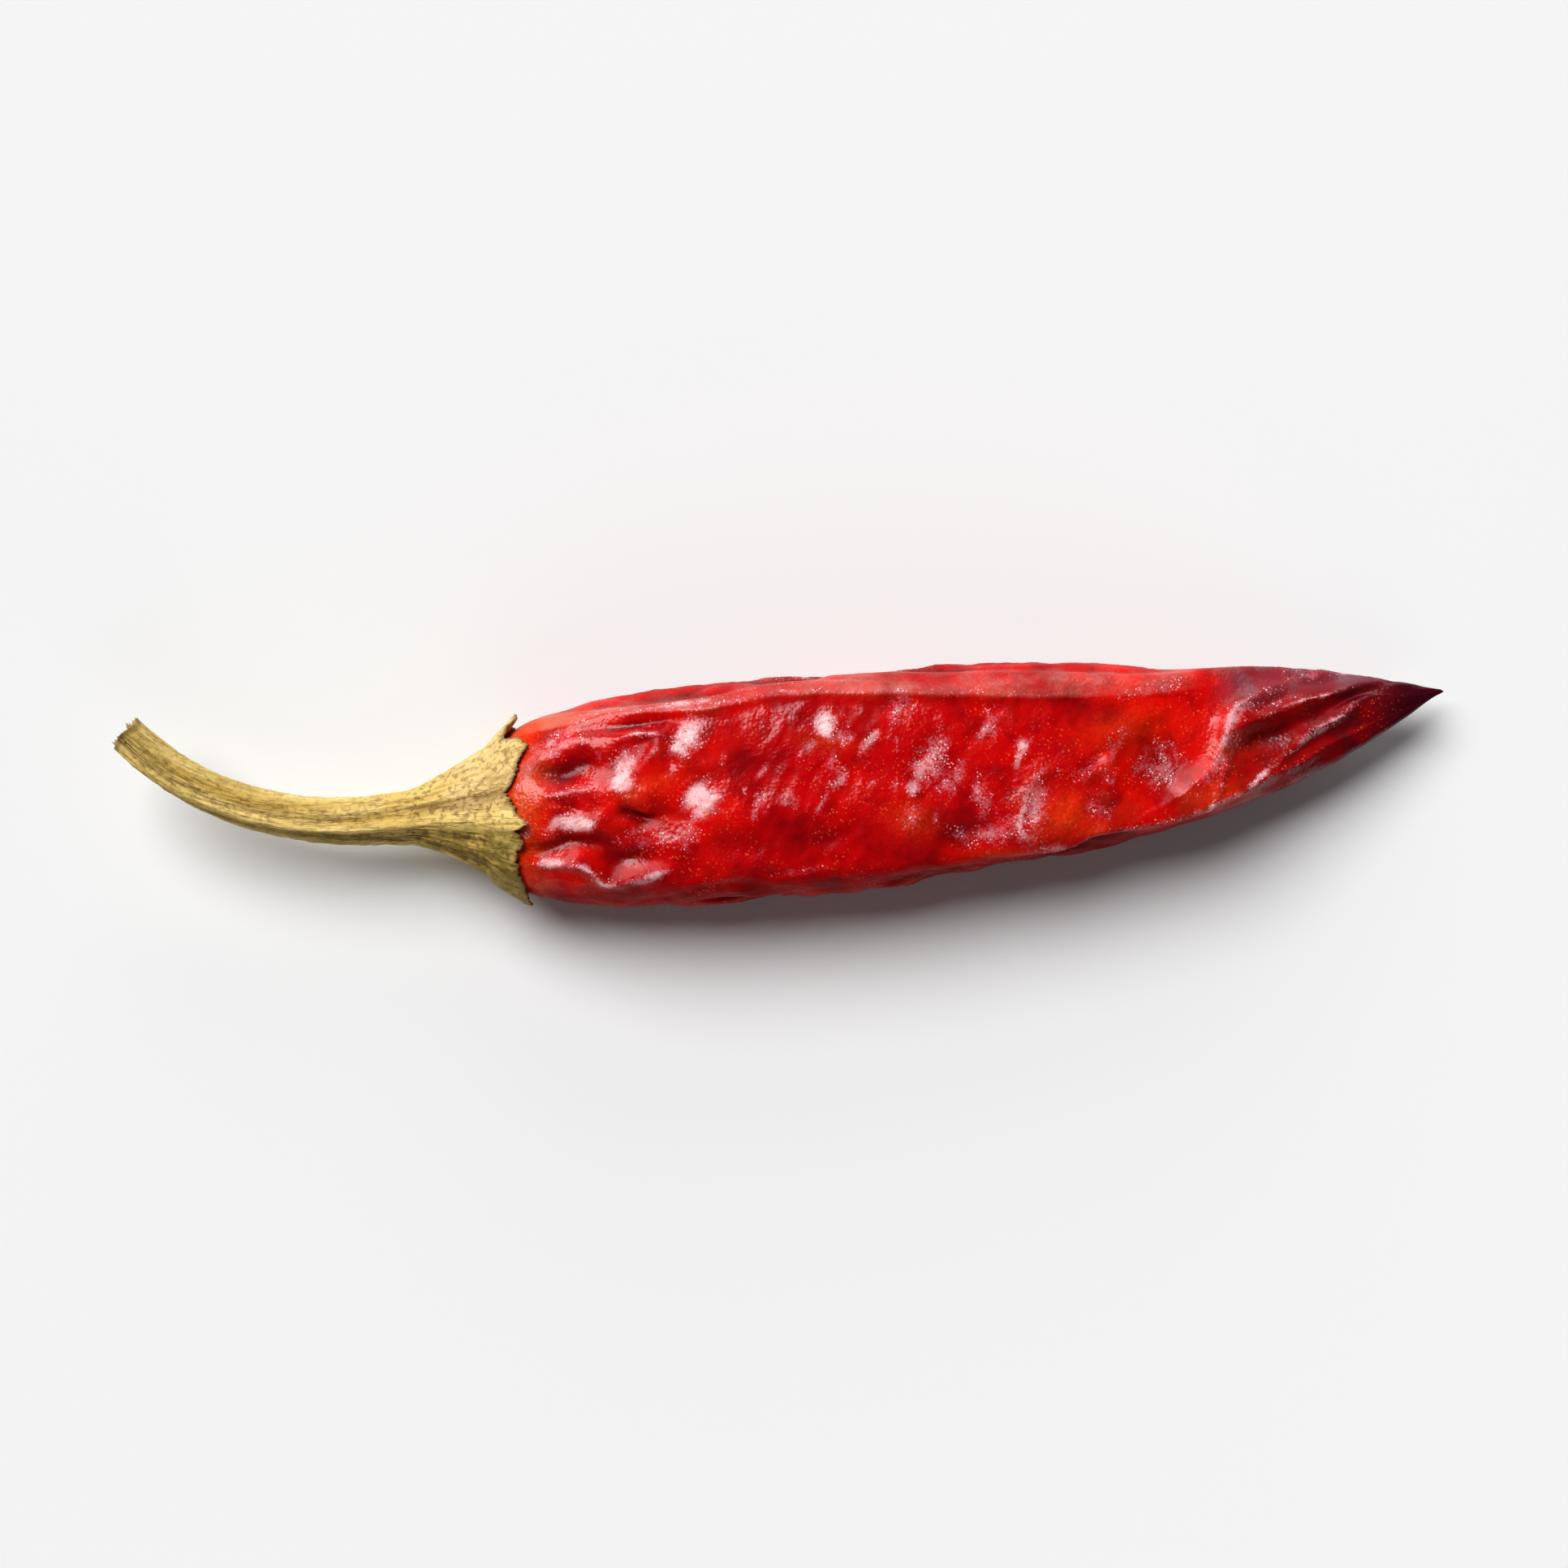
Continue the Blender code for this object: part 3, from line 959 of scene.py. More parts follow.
PATCHES = (
    # By the calyx
    patch(5.4, -4.3, 2.3, 0.9, 0, 0.66), patch(6.4, 1.55, 2.0, 0.85, -5, 1.0, slope=0.2),
    patch(9.8, -1.8, 1.1, 1.9, 14, 1.0, slope=0.22),
    patch(14.2, -3.8, 1.1, 1.6, 38, 0.92, slope=0.12),
    patch(15.3, 0.75, 1.5, 1.8, 0, 1.0, slope=0.2), patch(4.9, 4.05, 1.3, 0.5, 0, 0.95, slope=0.2),
    patch(11.7, 5.7, 1.5, 0.45, -15, 0.95, slope=0.2), patch(11.8, 3.0, 2.6, 1.0, 0, 0.45),
    patch(14.3, 2.9, 1.0, 1.2, 30, 0.50), patch(11.6, -5.0, 0.7, 0.4, 0, 0.40),
    patch(2.9, -1.4, 0.9, 1.8, 0, 0.34, slope=0.0), patch(3.0, 1.6, 0.8, 1.2, 0, 0.40, slope=0.0),
    patch(9.4, -6.6, 3.0, 0.5, 0, 0.62, slope=0.0), patch(14.0, -6.2, 3.0, 0.5, 0, 0.75, slope=0.0),
    # Over the middle of the top face
    patch(19.4, -0.9, 0.3, 0.9, 12, 0.66), patch(18.4, 0.3, 0.25, 0.25, 0, 0.95),
    patch(19.2, 1.4, 0.5, 1.0, 10, 0.62), patch(16.6, -1.9, 0.3, 0.5, 20, 0.50),
    patch(20.4, -3.9, 0.6, 1.3, 8, 0.40), patch(21.2, 0.9, 0.7, 1.0, -10, 0.60),
    patch(23.9, -4.0, 1.2, 1.0, 35, 0.92, slope=0.2), patch(25.2, -3.1, 0.6, 1.0, -20, 0.60),
    patch(22.6, -2.2, 0.6, 0.9, 15, 0.60), patch(24.3, -1.4, 0.6, 1.1, 0, 0.62),
    patch(24.7, 0.0, 0.7, 1.2, 25, 0.68), patch(23.7, 1.6, 0.3, 1.0, 35, 0.70),
    patch(27.1, -2.6, 0.45, 1.2, 30, 0.85, slope=0.15), patch(28.8, -2.2, 0.22, 0.7, -5, 0.70),
    patch(28.9, -4.6, 1.1, 1.0, 15, 0.62), patch(31.0, -0.7, 1.2, 2.2, 32, 0.72),
    patch(32.7, 0.5, 1.5, 0.9, -35, 0.62), patch(29.9, 1.2, 0.7, 0.9, 35, 0.74),
    patch(27.0, 0.3, 0.3, 0.35, 0, 0.50), patch(28.6, 0.9, 0.3, 0.6, 0, 0.60),
    patch(34.7, 2.2, 0.7, 1.8, -12, 0.62), patch(35.2, -2.8, 1.0, 1.4, 15, 0.55),
    patch(37.4, -0.6, 0.45, 1.2, 15, 0.85, slope=0.15), patch(31.6, 3.3, 0.25, 0.9, -5, 0.50),
    patch(33.4, 4.4, 1.4, 0.8, 10, 0.38), patch(29.8, 3.0, 1.0, 0.9, 10, 0.44),
    patch(35.8, 4.6, 3.0, 1.1, -8, 0.54), patch(22.2, 6.2, 2.2, 0.4, -5, 0.45),
    # Towards the tip
    patch(47.0, 1.1, 1.8, 1.7, 0, 0.56, slope=0.0),
    patch(46.8, -4.2, 2.8, 0.6, -8, 0.50, slope=0.0),
    patch(38.4, 3.2, 0.9, 2.2, 8, 0.70, slope=0.1), patch(39.9, 6.3, 1.6, 0.6, 5, 0.66, slope=0.1),
    patch(42.8, 3.6, 1.0, 1.8, -15, 0.42, slope=0.1),
    patch(42.0, 0.9, 1.4, 0.7, -20, 0.50, slope=0.1), patch(50.4, 4.4, 0.35, 0.35, 0, 0.95),
    patch(54.0, 3.0, 1.6, 0.3, -30, 0.80, slope=0.1),
    patch(58.0, 0.7, 2.0, 0.35, -22, 0.80, slope=0.1),
    patch(57.6, -3.8, 2.4, 0.7, 8, 0.45, slope=0.0),
    patch(60.4, -3.2, 0.6, 0.3, 0, 0.70, slope=0.0),
    patch(55.6, -1.9, 2.0, 0.4, -8, 0.40, slope=0.0),
)


@dataclass
class Pod:
    """The shrivelled fruit."""

    rows: int = 306
    columns: int = 300
    rays: int = 288
    hidden_rows: tuple[float, ...] = (0.02, 0.08, 0.2, 0.4, 0.7, 1.05, 1.4)
    first_row: float = 1.6
    tip_margin: float = 0.25
    ceiling: float = 10.75
    side_folds: int = 130
    side_patches: int = 46
    seed: int = 7
    depths: dict[str, float] = field(
        default_factory=lambda: {
            "Pucker size": 2.9,
            "Pucker depth": 0.30,
            "Ripple spacing": 2.4,
            "Ripple depth": 0.045,
            "Crinkle size": 1.1,
            "Crinkle depth": 0.022,
        }
    )

    def build(self) -> None:
        """Builds the pod, dresses it and hands it over."""
        base, along, around, girth = self.plump_skin()
        normals = grid_normals(base)
        raised, bloom_and_highlight = self.drawn_relief(along, around)
        raised += self.side_wrinkles(along, around)
        bloom_and_highlight = np.maximum(bloom_and_highlight, self.side_bloom_and_highlight(along, around))
        raised *= eased(along, 2.2, 4.4)
        raised *= eased(POD_END - along, 0.0, 4.0)
        over = base[..., 2] / MM + raised * normals[..., 2] - self.ceiling
        raised -= 0.75 * np.maximum(over, 0)
        angle = TAU * around / girth
        drum = np.stack([along, girth / TAU * np.cos(angle), girth / TAU * np.sin(angle)], axis=-1)
        glow = np.max([spot.over(along, around) for spot in GLOWS], axis=0)
        layers = {
            "drum": drum,
            "out": normals,
            "raised": raised,
            "bloom_and_highlight": bloom_and_highlight,
            "glow": glow,
            "along": along,
            "around": around,
            "sheen_band": self.sheen_band(along, around),
            "pucker": self.pucker(along, around),
        }
        low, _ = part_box("pod")
        first = base[0].mean(0) * (0, 1, 1) + (low.x, 0, 0)
        last = base[-1].mean(0) + (self.tip_margin * MM, 0, 0)
        piece = tube_mesh("pod_skin", base, layers, (first, last))
        values = {**self.depths, "Floor": low.z, "Seed": self.seed}
        apply_tree(piece, self.relief_tree(), {**values, "Material": PodFinish().make()})
        hand_over(piece, "pod")

    def plump_skin(self) -> tuple[Array, Array, Array, Array]:
        """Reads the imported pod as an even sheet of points.

        Returns:
            The points, and for each its distance from the shoulder, its distance round from the
            crown, and the girth there, all in millimetres.
        """
        tree, points, faces = welded_tree("pod")
        low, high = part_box("pod")
        length = (high.x - low.x) / MM
        even = np.linspace(self.first_row, length - self.tip_margin, self.rows)
        distances = np.concatenate([self.hidden_rows, even])
        xs = low.x + distances * MM
        middles = smoothed(slice_middles(points, faces, xs), 4.0, 0)
        angles = turns(self.rays)
        sections = list(zip(xs, middles))
        reach = np.array([[cast(tree, *cut, angle) for angle in angles] for cut in sections])
        reach = smoothed(smoothed(reach, 3.4, 1, "wrap"), 3.0, 0)
        angles = np.append(angles, angles[0] + TAU)
        reach = np.hstack([reach, reach[:, :1]])
        grid = np.empty((len(xs), self.columns, 3))
        around, girths = np.empty((2, len(xs), self.columns))
        for row, (x, middle) in enumerate(sections):
            ring = middle + reach[row][:, None] * np.stack([np.cos(angles), np.sin(angles)], 1)
            run = np.concatenate([[0], np.cumsum(np.linalg.norm(np.diff(ring, axis=0), axis=1))])
            even = np.arange(self.columns) * run[-1] / self.columns
            grid[row, :, 0] = x
            grid[row, :, 1] = np.interp(even, run, ring[:, 0])
            grid[row, :, 2] = np.interp(even, run, ring[:, 1])
            around[row] = (even - np.interp(math.pi / 2, angles, run)) / MM
            girths[row] = run[-1] / MM
        grid[..., 2] = np.maximum(grid[..., 2], low.z)
        along = np.repeat(distances[:, None], self.columns, axis=1)
        return grid, along, around, girths

    @staticmethod
    def drawn_relief(along: Array, around: Array) -> tuple[Array, Array]:
        """Adds up the drawn folds, dents and patches over the skin.

        Args:
            along: each skin point's distance from the shoulder.
            around: its distance round from the crown.

        Returns:
            How far each point is raised, in millimetres, and how much bloom and painted highlight
            it carries.
        """
        wander = (0.26 - 0.18 * eased(along, 44, 50)) * (1 - 0.85 * eased(np.abs(around), 3.0, 4.8))
        a = along + wander * np.sin(along * 1.7 + around * 1.1 + 0.6) * np.cos(around * 1.9)
        b = around + wander * np.sin(along * 1.3 - around * 0.9 + 2.1)
        raised, bloom_and_highlight = np.zeros((2, *along.shape))
        for fold in FOLDS:
            profile = fold.profile(a, b)
            raised += fold.height * profile
            bloom_and_highlight = np.maximum(bloom_and_highlight, fold.bloom_and_highlight * profile**fold.thin)
        for dent in DENTS:
            raised -= dent.over(a, b)
        for spot in PATCHES:
            p, q = a - spot.along, b - spot.round
            raised += spot.slope * (0.6 * p + 0.8 * q) * spot.window(p, q)
            bloom_and_highlight = np.maximum(bloom_and_highlight, spot.over(a, b))
        return raised, bloom_and_highlight

    def side_wrinkles(self, along: Array, around: Array) -> Array:
        """Long wrinkles over the flanks and the underside, which no drawn fold reaches.

        Args:
            along: each skin point's distance from the shoulder.
            around: its distance round from the crown.

        Returns:
            How far each point is raised, in millimetres.
        """
        draw = np.random.default_rng(self.seed)
        raised = np.zeros_like(along)
        for _ in range(self.side_folds):
            start = draw.uniform(3, 52)
            length = draw.uniform(6, 20)
            side = draw.choice((-1, 1))
            place = side * draw.uniform(8.0 if side > 0 else 6.8, 21.0)
            slope = draw.normal(0, 0.12)
            bend = draw.normal(0, 0.8)
            share = np.array([0.0, 0.35, 0.7, 1.0])
            across = place + slope * length * share + bend * np.sin(3 * share)
            spots = np.stack([start + length * share, across], axis=1)
            height = draw.uniform(0.22, 0.6) * draw.choice((-1, 0.5), p=(0.6, 0.4))
            width = draw.uniform(0.5, 1.3)
            fold = Fold(spots, height, width, width * draw.uniform(0.4, 1.0), 1.5)
            raised += height * fold.profile(along, around)
        outline = eased(np.abs(around), 5.5, 7.0) * (1 - eased(np.abs(around), 10.0, 12.0))
        return raised * (1 - np.where(raised > 0, 0.75, 0.15) * outline)

    def side_bloom_and_highlight(self, along: Array, around: Array) -> Array:
        """Patches of bloom and painted highlight over the flanks and the underside.

        Args:
            along: each skin point's distance from the shoulder.
            around: its distance round from the crown.

        Returns:
            How much bloom and painted highlight each point carries.
        """
        draw = np.random.default_rng(self.seed + 1)
        bloom_and_highlight = np.zeros_like(along)
        for _ in range(self.side_patches):
            side = draw.choice((-1, 1))
            place, spot = draw.uniform(4, 60), side * draw.uniform(9.0, 21.0)
            reach, spread = draw.uniform(0.7, 2.2), draw.uniform(0.4, 1.1)
            turn, amount = draw.uniform(-50, 50), draw.uniform(0.3, 0.6)
            bloom = patch(place, spot, reach, spread, turn, amount)
            bloom_and_highlight = np.maximum(bloom_and_highlight, bloom.over(along, around))
        return bloom_and_highlight

    @staticmethod
    def sheen_band(along: Array, around: Array) -> Array:
        """Marks the strip just beyond the long corner where a painted sheen makes the skin pale."""
        spots = np.array(CORNER)
        beyond = np.interp(along, spots[:, 0], spots[:, 1]) - around
        ragged = beyond + 0.7 * np.sin(0.9 * along) + 0.4 * np.sin(2.3 * along + 1.0)
        fade = 1 - 0.8 * eased(ragged, 1.4, 3.2) - 0.2 * eased(ragged, 3.2, 6.0)
        return eased(beyond, -0.05, 0.2) * fade * (1 - eased(along, 46, 52))

    @staticmethod
    def pucker(along: Array, around: Array) -> Array:
        """How strongly the skin puckers: most by the calyx, least over the smooth middle."""
        by_calyx = 1 - eased(along, 8, 20)
        by_tip = 0.15 * eased(along, 48, 56)
        flank = eased(around, 6.0, 9.0) + eased(-around, 7.5, 10.0)
        sheen_band = eased(-around, 4.4, 5.6) * (1 - eased(-around, 7.5, 9.5))
        under = 1 - 0.5 * eased(np.abs(around), 14.0, 18.0)
        level = np.maximum(0.12 + 0.14 * by_calyx + by_tip, 0.75 * flank) * (1 - 0.8 * sheen_band)
        return level * under * eased(along, 2.4, 5.0) * eased(POD_END - along, 1.0, 8.0)

    def relief_tree(self) -> Tree:
        """Builds the Geometry Nodes tree that shrivels the skin between its drawn folds.

        Returns:
            The tree, with the sizes and depths of its three kinds of wrinkle as inputs.
        """
        tree, given = geometry_tree("shrivelled_skin", {**self.depths, "Floor": 0.0})
        seed = given["Seed"] * 3.7
        drum = tree.vector("ADD", tree.named("drum", "FLOAT_VECTOR"), tree.combined(seed))
        wobble = tree.vector("SUBTRACT", drum.noise(0.35, 2.0, 1), (0.5, 0.5, 0.5))
        wandering = tree.vector("ADD", drum, wobble.scaled(3.0))
        fine = self.pucker_nodes(wandering, given) + self.crinkle_nodes(wandering, given)
        added = fine * tree.named("pucker") + self.ripple_nodes(tree, given, seed)
        raised = tree.named("raised") + added
        place = tree.vector("ADD", tree.out("GeometryNodeInputPosition"), tree.shift(raised))
        parts = tree.add("ShaderNodeSeparateXYZ", {0: place}).outputs
        x, y, z = (Value(tree, part) for part in parts)
        tree.move(given, raised, Position=tree.combined(x, y, z.most(given["Floor"])))
        return tree

    @staticmethod
    def pucker_nodes(place: Value, given: dict[str, Value]) -> Value:
        """Rounded hollows with creased ridges between them, in millimetres."""
        cells = place.cells(1.0 / given["Pucker size"], "SMOOTH_F1", Smoothness=0.35)
        return (cells - 0.55) * given["Pucker depth"]

    @staticmethod
    def ripple_nodes(tree: Tree, given: dict[str, Value], seed: Value) -> Value:
        """Slanting cross-wise ripples over the top face, in millimetres."""
        along, around = tree.named("along"), tree.named("around")
        lean = 0.42
        across = (along + around * lean) / given["Ripple spacing"]
        down = (around - along * lean) * 0.22
        value = tree.combined(across, down, seed).noise(1.0, 2.0)
        ridge = (0.5 - abs(value - 0.5) - 0.42) * 6.0
        middle = along.ramp(14.0, 22.0) * along.ramp(40.0, 48.0, DOWN)
        return ridge * (abs(around).ramp(5.0, 8.0, DOWN) * middle * given["Ripple depth"])

    @staticmethod
    def crinkle_nodes(place: Value, given: dict[str, Value]) -> Value:
        """Fine creases all over, in millimetres."""
        fold = abs(place.noise(1.0 / given["Crinkle size"]) - 0.5)
        return (0.12 - fold) * (given["Crinkle depth"] * 6.0)


# ---------------------------------------------------------------- stem and calyx

# Ribs that run up the stem and out to the calyx's points: the angle in degrees from +Y over the
# top, where the stem meets the calyx, then the height and the width
RIBS = (
    (8, 0.20, 0.50), (44, 0.12, 0.55), (106, 0.34, 0.42),
    (176, 0.24, 0.50), (236, 0.22, 0.55), (300, 0.24, 0.50),
)
FIBRE_DEPTHS = {"Broad depth": 0.06, "Fine depth": 0.055, "Rough depth": 0.02}


@dataclass(frozen=True)
class Neck:
    """Where the stem meets the calyx: the middle, the way into the pod, and the way across."""

    middle: Array
    inward: Array
    side: Array

    @classmethod
    def find(cls) -> "Neck":
        """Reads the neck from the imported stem."""
        _, points, faces = welded_tree("stem")
        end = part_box("stem")[1].x
        xs = np.array([end - 1.6 * MM, end - 0.4 * MM])
        middles = np.column_stack([xs, slice_middles(points, faces, xs)])
        inward = united((middles[1] - middles[0]) * (1, 1, 0))
        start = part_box("calyx")[0].x
        middle = middles[1] + inward * (start - middles[1][0]) / inward[0]
        return cls(middle, inward, np.array([-inward[1], inward[0], 0]))

    def ring(self, turn: Array) -> Array:
        """Ways out from the middle at each angle, in the neck's plane."""
        return np.cos(turn)[:, None] * self.side + np.sin(turn)[:, None] * UP


def turns(columns: int) -> Array:
    """Angles round a piece, in radians, that start underneath and come up the +Y side."""
    return -math.pi / 2 + np.arange(columns) * TAU / columns


def rib_height(turn: Array, run: Array, reach: Array, twist: float) -> Array:
    """Height of the ribs over a fibrous piece.

    Args:
        turn: the angle of each point, in radians.
        run: its distance from the neck along the stem, below zero on the calyx, in millimetres.
        reach: its distance from the piece's middle line, in millimetres.
        twist: how far the ribs turn in each millimetre, in radians.

    Returns:
        The height at each point, in millimetres.
    """
    height = np.zeros_like(turn)
    for angle, top, width in RIBS:
        apart = turn - math.radians(angle) - twist * np.maximum(run, 0)
        apart = (apart + math.pi) % TAU - math.pi
        width = width * (1 + 0.10 * np.maximum(-run, 0))
        height += top * np.exp(-((apart * reach / width) ** 2))
    return height


def grain_of(turn: Array, run: Array, twist: float) -> Array:
    """Coordinates for fibre streaks: two go round the piece and one, much stretched, along it."""
    turned = turn - twist * np.maximum(run, 0)
    ways = [GRAIN_ROUND * np.cos(turned), GRAIN_ROUND * np.sin(turned), run / GRAIN_ALONG]
    return np.stack(ways, axis=-1)


def fibre_tree(name: str) -> Tree:
    """Builds the Geometry Nodes tree that raises fibres along a stem or calyx.

    Args:
        name: the tree's name.

    Returns:
        The tree, with the depths of its three kinds of fibre as inputs.
    """
    tree, given = geometry_tree(name, FIBRE_DEPTHS)
    seed = tree.combined(0.0, 0.0, given["Seed"] * 5.3)
    grain = tree.vector("ADD", tree.named("grain", "FLOAT_VECTOR"), seed)
    broad = (grain.noise(0.55, 1.0) - 0.5) * (given["Broad depth"] * 4.0)
    fine = (0.10 - abs(grain.noise(1.9, 2.0) - 0.5)) * (given["Fine depth"] * 6.0)
    rough = tree.out("GeometryNodeInputPosition").noise(900.0) - 0.5
    raised = tree.named("raised") + (broad + fine + rough * (given["Rough depth"] * 4.0))
    tree.move(given, raised, Offset=tree.shift(raised))
    return tree


def sharpen_ring(piece: bpy.types.Object, first: int, count: int) -> None:
    """Marks a ring of a tube's points as a sharp edge.

    Args:
        piece: the object.
        first: the ring's first point.
        count: how many points it has.
    """
    ring = range(first, first + count)
    for edge in piece.data.edges:
        if edge.vertices[0] in ring and edge.vertices[1] in ring:
            edge.use_edge_sharp = True


@dataclass
class Stem:
    """The dry stalk: it bends to one side and a little up, ribbed along its length."""

    neck: Neck
    length: float = 21.6
    neck_diameter: float = 3.6
    waist_diameter: float = 2.55
    cut_diameter: float = 2.3
    side_bend: float = math.radians(52)
    up_bend: float = math.radians(14)
    twist: float = 0.035
    rows: int = 260
    columns: int = 144
    seed: int = 3

    def line(self, share: Array) -> tuple[Array, Array]:
        """Points on the middle line and the headings there, at shares of the length."""
        steps = np.linspace(0, 1, 400)
        away = math.atan2(self.neck.inward[1], self.neck.inward[0]) + math.pi
        side = away - self.side_bend * steps**1.45
        up = self.up_bend * steps
        heading = np.stack([np.cos(side) * np.cos(up), np.sin(side) * np.cos(up), np.sin(up)], 1)
        pieces = (heading[1:] + heading[:-1]) / 2 * self.length * MM / (len(steps) - 1)
        path = self.neck.middle + np.vstack([np.zeros(3), np.cumsum(pieces, axis=0)])
        at, way = (
            np.stack([np.interp(share, steps, values[:, axis]) for axis in range(3)], axis=-1)
            for values in (path, heading)
        )
        return at, way

    def diameter(self, share: Array) -> Array:
        """Thick at the neck, slender along the waist, in millimetres."""
        neck = (self.neck_diameter - self.waist_diameter) * np.exp(-share / 0.20)
        cut = (self.cut_diameter - self.waist_diameter) * share**3
        return self.waist_diameter + neck + cut

    def build(self, material: bpy.types.Material) -> None:
        """Builds the stem, dresses it and hands it over.

        Args:
            material: its finish.
        """
        share = np.linspace(1, 0, self.rows)
        middle, way = self.line(share)
        turn = np.repeat(turns(self.columns)[None], self.rows, axis=0)
        run = np.repeat(share[:, None] * self.length, self.columns, axis=1)
        side = united(np.cross(way, UP))
        over = np.cross(side, way)
        reach = self.diameter(share)[:, None] / 2 * np.ones_like(turn)
        flat = np.cos(turn)[..., None] * side[:, None] + np.sin(turn)[..., None] * over[:, None]
        raised = rib_height(turn, run, reach, self.twist) - RIB_SINK
        raised += 0.10 * np.sin(2 * turn + 0.9) * eased(run, 1, 7)
        slant = 0.35 * np.sin(turn + 0.6) + 0.12 * np.sin(3 * turn + 2.0)
        end = eased(share, 0.93, 1.0)[:, None]
        middle = middle[:, None] + way[:, None] * (slant * end)[..., None] * MM
        layers = {
            "out": flat,
            "raised": raised,
            "grain": grain_of(turn, run, self.twist),
            # Olive colour with painted shade on the underside, fading towards the cut end
            "olive_and_shade": eased(np.cos(turn - OLIVE_SHADED_SIDE), -0.1, 0.8) * eased(run, 19, 4),
            "edge": 0.5 * eased(share, 0.975, 0.99)[:, None] * np.ones_like(turn),
        }
        at, way = self.line(np.array([1.0, 0.0]))
        poles = (at[0] + way[0] * 0.08 * MM, at[1])
        piece = tube_mesh("stem_rod", middle + reach[..., None] * MM * flat, layers, poles)
        for row in (self.rows - 1, 0):
            sharpen_ring(piece, row * self.columns, self.columns)
        apply_tree(piece, fibre_tree("stem_fibres"), {"Seed": self.seed, "Material": material})
        hand_over(piece, "stem")


@dataclass
class Fray:
    """Torn fibres that stand out of the stem's cut end."""

    stem: Stem
    count: int = 54
    length: float = 0.55
    width: float = 0.11
    splay: float = 0.45
    seed: int = 5

    def fray_tree(self) -> Tree:
        """Builds the Geometry Nodes tree that puts a tapered fibre on each point.

        Returns:
            The tree, with a fibre's length and width as inputs.
        """
        sizes = {"Fibre length": self.length * MM, "Fibre width": self.width * MM}
        tree, given = geometry_tree("frayed_fibres", sizes)
        shape = {
            "Vertices": 7,
            "Side Segments": 3,
            "Radius Top": 0.00001,
            "Radius Bottom": given["Fibre width"],
            "Depth": given["Fibre length"],
        }
        spread = {
            "Points": given["Geometry"],
            "Instance": tree.out("GeometryNodeMeshCone", shape),
            "Rotation": tree.named("turn", "FLOAT_VECTOR"),
            "Scale": tree.out("FunctionNodeRandomValue", {2: 0.4, 3: 1.3, 8: given["Seed"]}, 1),
        }
        tree.finish(tree.out("GeometryNodeInstanceOnPoints", spread), given)
        return tree

    def build(self, material: bpy.types.Material) -> None:
        """Builds the fibres, dresses them and hands them over.

        Args:
            material: their finish.
        """
        draw = np.random.default_rng(self.seed)
        at, way = (spots[0] for spots in self.stem.line(np.array([1.0])))
        turn = draw.uniform(0, TAU, self.count)
        reach = np.sqrt(draw.uniform(0.1, 0.9, self.count)) * self.stem.cut_diameter / 2 * MM
        side = united(np.cross(way, UP))
        flat = np.cos(turn)[:, None] * side + np.sin(turn)[:, None] * np.cross(side, way)
        points = at + flat * reach[:, None] - way * 0.25 * MM
        lean = way + self.splay * flat * draw.uniform(0, 1, self.count)[:, None]
        mesh = bpy.data.meshes.new("stem_fray")
        mesh.from_pydata(points.tolist(), [], [])
        turned = [tuple(Vector(spot).to_track_quat("Z", "Y").to_euler()) for spot in lean]
        add_layer(mesh, "turn", np.array(turned))
        piece = placed("stem_fray", mesh)
        apply_tree(piece, self.fray_tree(), {"Seed": self.seed, "Material": material})
        hand_over(piece)


